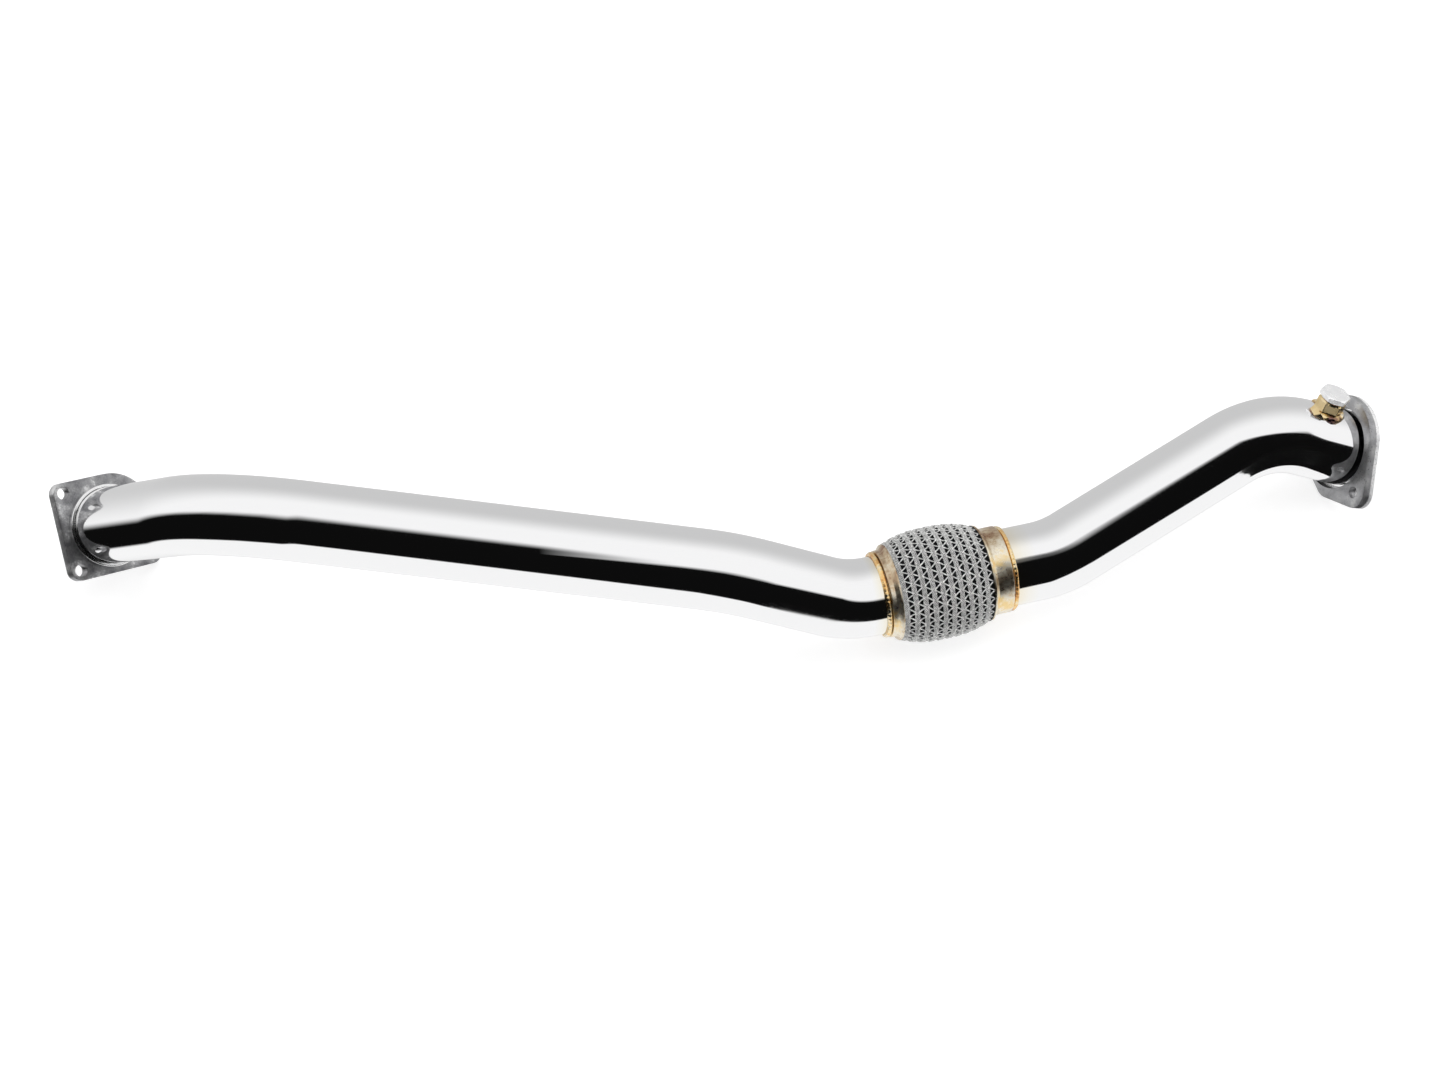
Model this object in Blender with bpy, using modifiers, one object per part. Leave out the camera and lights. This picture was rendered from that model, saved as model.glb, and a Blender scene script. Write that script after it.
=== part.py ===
"""Turbo downpipe: a bent, polished steel exhaust pipe in two lengths, joined by a
braided flexible section, with a bolt flange on each end and a plugged sensor bung.

The pipe is laid out the way a tube bender reads it: straight runs, the turn of the
bend plane before each bend, and the angle and centreline radius of the bend. Every
other piece takes its place from a station on that route.
"""

import math

import bmesh
import bpy
from mathutils import Matrix, Vector
from mathutils.geometry import convex_hull_2d

# Tube stock, in metres as all lengths here
PIPE_OUTER_DIAMETER = 0.0635
PIPE_WALL = 0.0015

# Bend table, from the outlet flange's inner face to the turbo flange's inner face
OUTLET_RUN = 0.1229
OUTLET_BEND_RADIUS = 0.1270
OUTLET_BEND = 55.4
LONG_RUN = 0.3088
OFFSET_BEND_TURN = -9.3
OFFSET_BEND_RADIUS = 0.1270
OFFSET_BEND = 22.0
OFFSET_RUN = 0.0604
RETURN_BEND_TURN = 137.4
RETURN_BEND_RADIUS = 0.0794
RETURN_BEND = 29.0
RUN_BEFORE_FLEX = 0.0079
RUN_AFTER_FLEX = 0.0308
RISE_BEND_TURN = -39.0
RISE_BEND_RADIUS = 0.0952
RISE_BEND = 19.0
RISE_RUN = 0.1567
TURBO_BEND_TURN = -150.2
TURBO_BEND_RADIUS = 0.0952
TURBO_BEND = 43.0
TURBO_RUN = 0.0388

# How the finished pipe lies on a flat floor
LIE_TURNS = (-50.9, -37.85, -34.77)

# Outlet flange: a square plate on three bolts, with its fourth corner cut to a big round
OUTLET_PLATE_SIDE = 0.0820
OUTLET_PLATE_THICKNESS = 0.0100
OUTLET_CORNER_RADIUS = 0.0092
OUTLET_CUT_CORNER_RADIUS = 0.0345
OUTLET_BOLT_OFFSET = 0.0325
OUTLET_BOLT_HOLE_DIAMETER = 0.0100
OUTLET_PLATE_TURN = 23.1
OUTLET_PLATE_RISE = 0.0014
COLLAR_WALL = 0.0027
COLLAR_HEIGHT = 0.0050
COLLAR_EDGE = 0.0007

# Turbo flange: a round plate with two bolt ears and a fuller lower side, set at a small angle
# to the pipe
TURBO_DISC_LAND = 0.0087
TURBO_DISC_SHIFT = (-0.0017, 0.0029)
TURBO_PLATE_THICKNESS = 0.0103
TURBO_BOLT_REACH = 0.0077
TURBO_EAR_RADIUS = 0.0129
TURBO_LOBE_PLACE = (0.0075, -0.0304)
TURBO_LOBE_RADIUS = 0.0162
TURBO_BOLT_HOLE_DIAMETER = 0.0092
TURBO_EAR_ANGLES = (-118.0, 25.0)
TURBO_PLATE_TILT = -6.0
TURBO_PLATE_TURN = 69.9
TURBO_COUNTERBORE_CLEARANCE = 0.0029
TURBO_COUNTERBORE_DROP = 0.0010
TURBO_COUNTERBORE_DEPTH = 0.0067

# Joint of pipe and flange plates
PIPE_END_RECESS = 0.0025
FLANGE_WELD_HEIGHT = 0.0018
PLATE_EDGE_CHAMFER = 0.0005

# Flexible section
FLEX_BRAID_LENGTH = 0.0750
FLEX_BRAID_END_HEIGHT = 0.0078
FLEX_BRAID_MID_HEIGHT = 0.0145
FLEX_BRAID_WALL = 0.0014
FLEX_BRAID_FULLNESS = 2.6
BRAID_RIDGES = 10
BRAID_RIDGE_HEIGHT = 0.0007
BRAID_GAPS_AROUND = 10
BRAID_GAP_WIDTH = 0.0026
BRAID_GAP_HEIGHT = 0.0050
BRAID_GAP_DEPTH = 0.0080
CAP_NECK_OUTLET = 0.0083
CAP_NECK_TURBO = 0.0175
CAP_NECK_WALL = 0.0033
CAP_NECK_EDGE = 0.0007
CAP_RIM_HEIGHT = 0.0073
CAP_RIM_THICKNESS = 0.0017
CAP_RIM_SLOPE = 0.6
CAP_HUB_LENGTH = 0.0070
BELLOWS_WAVES = 5
BELLOWS_CREST_SHARE = 0.3
BELLOWS_WALL = 0.0006
BELLOWS_CREST_HEIGHT = 0.0093
BELLOWS_SPAN = 0.0460
LINER_WALL = 0.0010
LINER_STEPS = 5
LINER_STEP_HEIGHT = 0.0007
LINER_STEP_SHARE = 0.85

# Weld beads on the outside of the pipe
FLEX_WELD_WIDTH = 0.0042
FLEX_WELD_HEIGHT = 0.0030

# Sensor bung and its plug
BUNG_FROM_FLANGE = 0.0262
BUNG_TURN = 202.2
BUNG_LEAN = 9.8
BUNG_ACROSS_FLATS = 0.0210
BUNG_HEIGHT = 0.0119
BUNG_HEXAGON_TURN = 35.7
BUNG_ROOT_DEPTH = 0.0090
BUNG_THREAD_DIAMETER = 0.0164
BUNG_WELD_WIDTH = 0.0034
BUNG_WELD_HEIGHT = 0.0030
BUNG_WELD_SHOULDER = 0.7
PLUG_ACROSS_FLATS = 0.0230
PLUG_HEXAGON_TURN = 37.0
PLUG_HEAD_HEIGHT = 0.0046
PLUG_CROWN_LAND = 0.0004
PLUG_CROWN_SLOPE = 30.0
PLUG_SHANK_LENGTH = 0.0095
GASKET_THICKNESS = 0.0010
GASKET_WALL = 0.0020

# Fits and fineness
SEAT_GAP = 0.0003
SLIP_GAP = 0.0004
ROUND_SIDES = 32
INNER_SIDES = 20
BEND_STEP = 8.0
WELD_THRESHOLD = 0.00001

PIPE_RADIUS = PIPE_OUTER_DIAMETER / 2
CAP_RIM_RADIUS = PIPE_RADIUS + CAP_RIM_HEIGHT
BRAID_END_RADIUS = PIPE_RADIUS + FLEX_BRAID_END_HEIGHT
BRAID_MID_RADIUS = PIPE_RADIUS + FLEX_BRAID_MID_HEIGHT
BELLOWS_CREST_RADIUS = PIPE_RADIUS + BELLOWS_CREST_HEIGHT
TURBO_DISC_RADIUS = PIPE_RADIUS + TURBO_DISC_LAND
TURBO_BOLT_RADIUS = TURBO_DISC_RADIUS + TURBO_BOLT_REACH
SOCKET_RADIUS = PIPE_RADIUS + SLIP_GAP
FLEX_LENGTH = CAP_NECK_OUTLET + FLEX_BRAID_LENGTH + CAP_NECK_TURBO

OUTLET_ROUTE = (
    ("run", OUTLET_RUN),
    ("bend", 0.0, OUTLET_BEND_RADIUS, OUTLET_BEND),
    ("run", LONG_RUN),
    ("bend", OFFSET_BEND_TURN, OFFSET_BEND_RADIUS, OFFSET_BEND),
    ("run", OFFSET_RUN),
    ("bend", RETURN_BEND_TURN, RETURN_BEND_RADIUS, RETURN_BEND),
    ("run", RUN_BEFORE_FLEX),
)
TURBO_ROUTE = (
    ("run", RUN_AFTER_FLEX),
    ("bend", RISE_BEND_TURN, RISE_BEND_RADIUS, RISE_BEND),
    ("run", RISE_RUN),
    ("bend", TURBO_BEND_TURN, TURBO_BEND_RADIUS, TURBO_BEND),
    ("run", TURBO_RUN),
)


class Station:
    """A place on the pipe's centreline: where it is, where it heads, and the bend axis."""

    def __init__(self, place, heading, normal):
        self.place = place
        self.heading = heading
        self.normal = normal

    def ahead(self, distance):
        return Station(self.place + self.heading * distance, self.heading, self.normal)

    def turned(self, degrees):
        twist = Matrix.Rotation(math.radians(degrees), 3, self.heading)
        return Station(self.place, self.heading, twist @ self.normal)

    def bent(self, radius, degrees):
        """The station at the end of an arc of this radius and angle."""
        towards = self.normal.cross(self.heading)
        centre = self.place + towards * radius
        swing = Matrix.Rotation(math.radians(degrees), 3, self.normal)
        return Station(centre - swing @ towards * radius, swing @ self.heading, self.normal)

    def matrix(self):
        """Local Z runs along the pipe, local X points to the inside of the last bend."""
        side = self.normal.cross(self.heading)
        columns = Matrix((side, self.normal, self.heading)).transposed()
        return Matrix.Translation(self.place) @ columns.to_4x4()


def walk(start, route):
    """The centreline's points along a route, and the station at its end."""
    here = start
    points = [here.place]
    for step in route:
        if step[0] == "run":
            here = here.ahead(step[1])
            points.append(here.place)
            continue
        here = here.turned(step[1])
        count = max(2, round(step[3] / BEND_STEP))
        arc_start = here
        for index in range(1, count + 1):
            here = arc_start.bent(step[2], step[3] * index / count)
            points.append(here.place)
    return points, here


def clear_scene():
    for item in list(bpy.data.objects):
        bpy.data.objects.remove(item, do_unlink=True)


def new_collection(name):
    group = bpy.data.collections.new(name)
    bpy.context.scene.collection.children.link(group)
    return group


def finish(name, colour, roughness, metallic=1.0):
    """A plain metal finish for one piece."""
    look = bpy.data.materials.new(name)
    look.use_nodes = True
    shader = look.node_tree.nodes["Principled BSDF"]
    shader.inputs["Base Color"].default_value = (*colour, 1.0)
    shader.inputs["Roughness"].default_value = roughness
    shader.inputs["Metallic"].default_value = metallic
    return look


def add_piece(name, mesh, place, look):
    """A named sub-part, carried by the empty that lays the pipe on the floor."""
    piece = bpy.data.objects.new(name, mesh)
    parts.objects.link(piece)
    piece.parent = lie
    piece.matrix_local = place
    mesh.materials.clear()
    mesh.materials.append(look)
    mesh.shade_smooth()
    mesh.set_sharp_from_angle(angle=math.radians(35))
    return piece


def add_cutter(name, mesh, place):
    cutter = bpy.data.objects.new(name, mesh)
    cutters.objects.link(cutter)
    cutter.parent = lie
    cutter.matrix_local = place
    cutter.hide_render = True
    cutter.display_type = "WIRE"
    return cutter


def cut(piece, cutter):
    step = piece.modifiers.new("cut " + cutter.name, "BOOLEAN")
    step.operation = "DIFFERENCE"
    step.solver = "EXACT"
    step.object = cutter


def chamfer(piece, width, segments=1):
    step = piece.modifiers.new("edge", "BEVEL")
    step.width = width
    step.segments = segments
    step.limit_method = "ANGLE"
    step.angle_limit = math.radians(50)


def mesh_from(source):
    """The evaluated mesh of a curve or of an object with modifiers, with its seams welded."""
    bpy.context.view_layer.update()
    graph = bpy.context.evaluated_depsgraph_get()
    mesh = bpy.data.meshes.new_from_object(source.evaluated_get(graph))
    shape = bmesh.new()
    shape.from_mesh(mesh)
    bmesh.ops.remove_doubles(shape, verts=shape.verts, dist=WELD_THRESHOLD)
    bmesh.ops.recalc_face_normals(shape, faces=shape.faces)
    shape.to_mesh(mesh)
    shape.free()
    bpy.data.objects.remove(source, do_unlink=True)
    return mesh


def tube_mesh(points, radius, capped=False):
    """A round skin along these points, open at both ends or closed."""
    curve = bpy.data.curves.new("centreline", "CURVE")
    curve.dimensions = "3D"
    line = curve.splines.new("POLY")
    line.points.add(len(points) - 1)
    for knot, place in zip(line.points, points):
        knot.co = (*place, 1.0)
    curve.bevel_depth = radius
    curve.bevel_resolution = (ROUND_SIDES - 4) // 2
    curve.use_fill_caps = capped
    guide = bpy.data.objects.new("centreline", curve)
    parts.objects.link(guide)
    return mesh_from(guide)


def add_pipe(name, points, look):
    pipe = add_piece(name, tube_mesh(points, PIPE_RADIUS), Matrix.Identity(4), look)
    wall = pipe.modifiers.new("wall", "SOLIDIFY")
    wall.thickness = PIPE_WALL
    wall.offset = -1.0
    wall.use_even_offset = True
    return pipe


def turned_mesh(profile, sides):
    """A ring turned about local Z from a closed profile of (radius, height) points,
    which runs down the outer side and up the inner side."""
    mesh = bpy.data.meshes.new("profile")
    points = [(radius, 0.0, height) for radius, height in profile]
    count = len(points)
    mesh.from_pydata(points, [(i, (i + 1) % count) for i in range(count)], [])
    holder = bpy.data.objects.new("profile", mesh)
    parts.objects.link(holder)
    screw = holder.modifiers.new("turn", "SCREW")
    screw.axis = "Z"
    screw.angle = math.tau
    screw.steps = sides
    screw.render_steps = sides
    screw.use_merge_vertices = True
    screw.merge_threshold = WELD_THRESHOLD
    return mesh_from(holder)


def rod_mesh(radius, low, high, sides):
    """A solid round bar along local Z."""
    shape = bmesh.new()
    bmesh.ops.create_cone(
        shape, cap_ends=True, segments=sides, radius1=radius, radius2=radius, depth=high - low
    )
    bmesh.ops.translate(shape, verts=shape.verts, vec=(0, 0, (low + high) / 2))
    mesh = bpy.data.meshes.new("rod")
    shape.to_mesh(mesh)
    shape.free()
    return mesh


def block_mesh(width, depth, low, high):
    """A square block about local Z."""
    shape = bmesh.new()
    bmesh.ops.create_cube(shape, size=1.0)
    bmesh.ops.scale(shape, verts=shape.verts, vec=(width, depth, high - low))
    bmesh.ops.translate(shape, verts=shape.verts, vec=(0, 0, (low + high) / 2))
    mesh = bpy.data.meshes.new("block")
    shape.to_mesh(mesh)
    shape.free()
    return mesh


def arc(centre, radius, start, end, steps):
    """Points on an arc, angles in degrees, both ends included."""
    points = []
    for index in range(steps + 1):
        angle = math.radians(start + (end - start) * index / steps)
        points.append((centre[0] + radius * math.cos(angle), centre[1] + radius * math.sin(angle)))
    return points


def circle(centre, radius, steps):
    return arc(centre, radius, 0.0, 360.0, steps)[:-1]


def plate_mesh(outlines, thickness):
    """A flat plate from z = 0 to its thickness. The first outline is its edge, the rest are holes."""
    curve = bpy.data.curves.new("outline", "CURVE")
    curve.dimensions = "2D"
    curve.fill_mode = "BOTH"
    curve.extrude = thickness / 2
    for outline in outlines:
        line = curve.splines.new("POLY")
        line.points.add(len(outline) - 1)
        line.use_cyclic_u = True
        for knot, place in zip(line.points, outline):
            knot.co = (place[0], place[1], 0.0, 1.0)
    holder = bpy.data.objects.new("outline", curve)
    parts.objects.link(holder)
    mesh = mesh_from(holder)
    mesh.transform(Matrix.Translation((0, 0, thickness / 2)))
    return mesh


def bead_profile(inner, outer, low, high, steps=4):
    """A weld bead's section: flat where it sits at the inner radius, round outside."""
    middle = (low + high) / 2
    half = (high - low) / 2
    points = []
    for index in range(steps + 1):
        angle = math.radians(90 - 180 * index / steps)
        points.append((inner + (outer - inner) * math.cos(angle), middle + half * math.sin(angle)))
    return points


def outlet_flange(face, look):
    """The square plate, from its inner face at z = 0 to its mating face below it."""
    half = OUTLET_PLATE_SIDE / 2
    outline = []
    corners = (
        (1, 1, OUTLET_CUT_CORNER_RADIUS, 10),
        (-1, 1, OUTLET_CORNER_RADIUS, 5),
        (-1, -1, OUTLET_CORNER_RADIUS, 5),
        (1, -1, OUTLET_CORNER_RADIUS, 5),
    )
    for index, (x, y, radius, steps) in enumerate(corners):
        centre = (x * (half - radius), y * (half - radius))
        outline += arc(centre, radius, index * 90, index * 90 + 90, steps)
    holes = [circle((0, 0), SOCKET_RADIUS, ROUND_SIDES)]
    for x, y, _, _ in corners[1:]:
        place = (x * OUTLET_BOLT_OFFSET, y * OUTLET_BOLT_OFFSET)
        holes.append(circle(place, OUTLET_BOLT_HOLE_DIAMETER / 2, 16))
    raised = [[(x, y + OUTLET_PLATE_RISE) for x, y in line] for line in (outline, *holes[1:])]
    mesh = plate_mesh([raised[0], holes[0], *raised[1:]], OUTLET_PLATE_THICKNESS)
    mesh.transform(Matrix.Translation((0, 0, -OUTLET_PLATE_THICKNESS)))
    plate = add_piece("outlet_flange", mesh, face.matrix(), look)
    chamfer(plate, PLATE_EDGE_CHAMFER)
    return plate


def turbo_bolts():
    """The bolt centres, measured from the disc's centre."""
    places = []
    for angle in TURBO_EAR_ANGLES:
        along = math.radians(angle)
        places.append((TURBO_BOLT_RADIUS * math.cos(along), TURBO_BOLT_RADIUS * math.sin(along)))
    return places


def turbo_outline():
    """A band drawn tight round the disc, the bolt ears and the lobe on the lower side."""
    points = circle((0, 0), TURBO_DISC_RADIUS, 36)
    points += circle(TURBO_LOBE_PLACE, TURBO_LOBE_RADIUS, 24)
    for place in turbo_bolts():
        points += circle(place, TURBO_EAR_RADIUS, 24)
    return [points[index] for index in convex_hull_2d(points)]


def turbo_flange(plate_frame, pipe_end, look):
    """The eared plate. It starts at its inner face, z = 0, and ends at its mating face."""
    bolts = [circle(place, TURBO_BOLT_HOLE_DIAMETER / 2, 16) for place in turbo_bolts()]
    mesh = plate_mesh([turbo_outline(), *bolts], TURBO_PLATE_THICKNESS)
    mesh.transform(Matrix.Translation((*TURBO_DISC_SHIFT, 0)))
    plate = add_piece("turbo_flange", mesh, plate_frame, look)
    margin = TURBO_PLATE_THICKNESS
    counterbore = rod_mesh(
        PIPE_RADIUS + TURBO_COUNTERBORE_CLEARANCE, -margin, TURBO_COUNTERBORE_DEPTH, ROUND_SIDES
    )
    counterbore.transform(Matrix.Translation((0, -TURBO_COUNTERBORE_DROP, 0)))
    cut(plate, add_cutter("turbo_counterbore", counterbore, plate_frame))
    bore = rod_mesh(SOCKET_RADIUS, -margin, TURBO_PLATE_THICKNESS + margin, ROUND_SIDES)
    cut(plate, add_cutter("turbo_bore", bore, pipe_end.matrix()))
    chamfer(plate, PLATE_EDGE_CHAMFER)
    return plate


def flange_weld_profile():
    """The bead inside a flange, on the pipe's cut end."""
    inner = PIPE_RADIUS - PIPE_WALL + SEAT_GAP
    outer = PIPE_RADIUS - SEAT_GAP
    low = SEAT_GAP
    high = FLANGE_WELD_HEIGHT
    shoulder = (high - low) / 2
    return [
        (inner + (outer - inner) / 2, high),
        (outer, low + shoulder),
        (outer, low),
        (inner, low),
        (inner, low + shoulder),
    ]


def cap_profile(neck):
    """A flex end cap: neck over the pipe, rim against the braid, hub inside the bellows."""
    neck_radius = SOCKET_RADIUS + CAP_NECK_WALL
    liner_seat = SOCKET_RADIUS + LINER_WALL + LINER_STEP_HEIGHT + SLIP_GAP
    slope = CAP_RIM_RADIUS - neck_radius
    return [
        (neck_radius, CAP_HUB_LENGTH),
        (neck_radius, 0.0),
        (CAP_RIM_RADIUS, 0.0),
        (CAP_RIM_RADIUS, -CAP_RIM_THICKNESS),
        (neck_radius, -CAP_RIM_THICKNESS - slope * CAP_RIM_SLOPE),
        (neck_radius, -neck + CAP_NECK_EDGE),
        (neck_radius - CAP_NECK_EDGE, -neck),
        (SOCKET_RADIUS, -neck),
        (SOCKET_RADIUS, 0.0),
        (liner_seat, 0.0),
        (liner_seat, CAP_HUB_LENGTH),
    ]


def braid_radius(place):
    """The barrel's radius at a place from 0 to 1 along the braid."""
    fall = abs(2 * place - 1) ** FLEX_BRAID_FULLNESS
    return BRAID_MID_RADIUS - (BRAID_MID_RADIUS - BRAID_END_RADIUS) * fall


def braid_profile():
    """The knitted sleeve: a barrel with one ridge for each course, and a smooth inside."""
    count = 2 * BRAID_RIDGES
    length = FLEX_BRAID_LENGTH - 2 * SEAT_GAP
    outer = []
    for index in range(count + 1):
        place = 1 - index / count
        valley = BRAID_RIDGE_HEIGHT if index % 2 == 0 else 0.0
        outer.append((braid_radius(place) - valley, SEAT_GAP + length * place))
    inner = []
    steps = 4
    for index in range(steps + 1):
        place = index / steps
        radius = braid_radius(place) - BRAID_RIDGE_HEIGHT - FLEX_BRAID_WALL
        inner.append((radius, SEAT_GAP + length * place))
    return outer + inner


def braid_gaps(frame):
    """One mesh of every open stitch that is cut through the sleeve."""
    shape = bmesh.new()
    for ring in range(BRAID_RIDGES):
        place = (ring + 0.5) / BRAID_RIDGES
        height = FLEX_BRAID_LENGTH * place
        middle = braid_radius(place) - FLEX_BRAID_WALL
        for index in range(BRAID_GAPS_AROUND):
            turn = math.tau * (index + 0.5 * (ring % 2)) / BRAID_GAPS_AROUND
            box = bmesh.ops.create_cube(shape, size=1.0)["verts"]
            bmesh.ops.scale(
                shape,
                verts=box,
                vec=(BRAID_GAP_DEPTH, BRAID_GAP_HEIGHT, BRAID_GAP_WIDTH),
            )
            bmesh.ops.translate(shape, verts=box, vec=(middle, 0, height))
            bmesh.ops.rotate(
                shape, verts=box, cent=(0, 0, 0), matrix=Matrix.Rotation(turn, 3, "Z")
            )
    mesh = bpy.data.meshes.new("gaps")
    shape.to_mesh(mesh)
    shape.free()
    return add_cutter("braid_gaps", mesh, frame)


def bellows_profile():
    """The corrugated sleeve: a thin wall in waves, with a plain cuff over each cap's hub."""
    flats = math.cos(math.pi / INNER_SIDES)
    root = (SOCKET_RADIUS + CAP_NECK_WALL + SEAT_GAP) / flats
    start = (FLEX_BRAID_LENGTH - BELLOWS_SPAN) / 2
    wave = BELLOWS_SPAN / BELLOWS_WAVES
    line = [(root, SEAT_GAP)]
    for index in range(BELLOWS_WAVES):
        foot = start + wave * index
        line.append((root, foot))
        line.append((BELLOWS_CREST_RADIUS - BELLOWS_WALL, foot + wave * BELLOWS_CREST_SHARE))
        line.append((BELLOWS_CREST_RADIUS - BELLOWS_WALL, foot + wave * (1 - BELLOWS_CREST_SHARE)))
    line.append((root, start + BELLOWS_SPAN))
    line.append((root, FLEX_BRAID_LENGTH - SEAT_GAP))
    outer = [(radius + BELLOWS_WALL, height) for radius, height in reversed(line)]
    return outer + line


def liner_profile():
    """The interlocked inner hose: short sleeves, each stepped over the next."""
    inner_radius = SOCKET_RADIUS
    length = FLEX_BRAID_LENGTH - 2 * SEAT_GAP
    pitch = length / LINER_STEPS
    line = []
    for index in range(LINER_STEPS):
        low = SEAT_GAP + pitch * index
        line.append((inner_radius, low))
        line.append((inner_radius + LINER_STEP_HEIGHT, low + pitch * LINER_STEP_SHARE))
    line.append((inner_radius, SEAT_GAP + length))
    outer = [(radius + LINER_WALL, height) for radius, height in reversed(line)]
    return outer + line


def hex_mesh(across_flats, low, high, turn):
    shape = bmesh.new()
    radius = across_flats / math.sqrt(3)
    bmesh.ops.create_cone(
        shape, cap_ends=True, segments=6, radius1=radius, radius2=radius, depth=high - low
    )
    spin = Matrix.Rotation(math.radians(turn), 3, "Z")
    bmesh.ops.rotate(shape, verts=shape.verts, cent=(0, 0, 0), matrix=spin)
    bmesh.ops.translate(shape, verts=shape.verts, vec=(0, 0, (low + high) / 2))
    mesh = bpy.data.meshes.new("hexagon")
    shape.to_mesh(mesh)
    shape.free()
    return mesh


def join(piece, other):
    step = piece.modifiers.new("join " + other.name, "BOOLEAN")
    step.operation = "UNION"
    step.solver = "EXACT"
    step.object = other


def rest_on_floor():
    """Shift the empty so that the lowest point is at z = 0 and the box stands over the origin."""
    bpy.context.view_layer.update()
    graph = bpy.context.evaluated_depsgraph_get()
    places = []
    for piece in parts.objects:
        if piece.type != "MESH":
            continue
        mesh = piece.evaluated_get(graph).to_mesh()
        places += [piece.matrix_world @ corner.co for corner in mesh.vertices]
    low = [min(place[axis] for place in places) for axis in range(3)]
    high = [max(place[axis] for place in places) for axis in range(3)]
    lie.location = (-(low[0] + high[0]) / 2, -(low[1] + high[1]) / 2, -low[2])


clear_scene()
parts = new_collection("turbo_downpipe")
cutters = new_collection("cutters")
lie = bpy.data.objects.new("lie", None)
parts.objects.link(lie)

polished = finish("polished pipe", (0.86, 0.86, 0.87), 0.06)
ground = finish("ground plate", (0.36, 0.36, 0.37), 0.42)
brushed = finish("brushed plate", (0.50, 0.50, 0.51), 0.32)
knit = finish("knitted wire", (0.66, 0.66, 0.67), 0.30)
tinted = finish("heat tinted steel", (0.62, 0.50, 0.36), 0.22)
straw = finish("straw weld", (0.86, 0.60, 0.26), 0.25)
inner_steel = finish("inner steel", (0.45, 0.45, 0.46), 0.40)
gold = finish("gold bung", (0.86, 0.66, 0.34), 0.24)
plated = finish("plated plug", (0.80, 0.81, 0.82), 0.25)
copper = finish("copper gasket", (0.70, 0.42, 0.28), 0.30)

# Route
start = Station(Vector((0, 0, 0)), Vector((1, 0, 0)), Vector((0, 0, 1)))
outlet_points, flex_start = walk(start, OUTLET_ROUTE)
flex_end = flex_start.ahead(FLEX_LENGTH)
turbo_points, turbo_face = walk(flex_end, TURBO_ROUTE)

# Outlet pipe, from inside its flange to the shoulder of the first cap
outlet_tip = start.ahead(PIPE_END_RECESS - OUTLET_PLATE_THICKNESS)
outlet_shoulder = flex_start.ahead(CAP_NECK_OUTLET)
outlet_line = [outlet_tip.place, *outlet_points[1:-1]]
outlet_line.append(outlet_shoulder.ahead(-SEAT_GAP).place)
add_pipe("outlet_pipe", outlet_line, polished)

plate_face = start.turned(OUTLET_PLATE_TURN)
outlet_flange(plate_face, ground)
collar = [
    (PIPE_RADIUS + COLLAR_WALL - COLLAR_EDGE, COLLAR_HEIGHT),
    (PIPE_RADIUS + COLLAR_WALL, COLLAR_HEIGHT - COLLAR_EDGE),
    (PIPE_RADIUS + COLLAR_WALL, SEAT_GAP),
    (SOCKET_RADIUS, SEAT_GAP),
    (SOCKET_RADIUS, COLLAR_HEIGHT),
]
add_piece("outlet_collar", turned_mesh(collar, ROUND_SIDES), start.matrix(), polished)
inward = outlet_tip.matrix() @ Matrix.Rotation(math.pi, 4, "X")
weld_mesh = turned_mesh(flange_weld_profile(), ROUND_SIDES)
add_piece("outlet_flange_weld", weld_mesh, inward, straw)

# Flexible section
flex_low = flex_start.ahead(CAP_NECK_OUTLET)
flex_high = flex_low.ahead(FLEX_BRAID_LENGTH)
flex_frame = flex_low.matrix()
flipped = flex_high.matrix() @ Matrix.Rotation(math.pi, 4, "X")
outlet_cap = turned_mesh(cap_profile(CAP_NECK_OUTLET), ROUND_SIDES)
add_piece("flex_cap_outlet", outlet_cap, flex_frame, tinted)
turbo_cap = turned_mesh(cap_profile(CAP_NECK_TURBO), ROUND_SIDES)
add_piece("flex_cap_turbo", turbo_cap, flipped, tinted)
braid = add_piece("flex_braid", turned_mesh(braid_profile(), ROUND_SIDES), flex_frame, knit)
cut(braid, braid_gaps(flex_frame))
bellows = turned_mesh(bellows_profile(), INNER_SIDES)
add_piece("flex_bellows", bellows, flex_frame, inner_steel)
liner = turned_mesh(liner_profile(), INNER_SIDES)
add_piece("flex_liner", liner, flex_frame, inner_steel)

# Weld beads round the pipe at both caps
bead = bead_profile(
    SOCKET_RADIUS,
    PIPE_RADIUS + FLEX_WELD_HEIGHT,
    SEAT_GAP,
    SEAT_GAP + FLEX_WELD_WIDTH,
)
outlet_weld_frame = flex_start.matrix() @ Matrix.Rotation(math.pi, 4, "X")
add_piece("flex_weld_outlet", turned_mesh(bead, ROUND_SIDES), outlet_weld_frame, straw)
add_piece("flex_weld_turbo", turned_mesh(bead, ROUND_SIDES), flex_end.matrix(), straw)

# Turbo pipe, from the second cap's shoulder to inside its flange
tilt = Matrix.Rotation(math.radians(TURBO_PLATE_TILT), 4, "X")
plate_frame = turbo_face.turned(TURBO_PLATE_TURN).matrix() @ tilt
turbo_line = [flex_high.ahead(SEAT_GAP).place, *turbo_points[1:-1]]
turbo_line.append(turbo_face.ahead(2 * TURBO_PLATE_THICKNESS).place)
turbo_pipe = add_pipe("turbo_pipe", turbo_line, polished)
trim_height = TURBO_PLATE_THICKNESS - PIPE_END_RECESS
trim = block_mesh(
    2 * PIPE_OUTER_DIAMETER, 2 * PIPE_OUTER_DIAMETER, trim_height, 4 * TURBO_PLATE_THICKNESS
)
cut(turbo_pipe, add_cutter("pipe_trim", trim, plate_frame))
turbo_flange(plate_frame, turbo_face, brushed)

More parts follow.
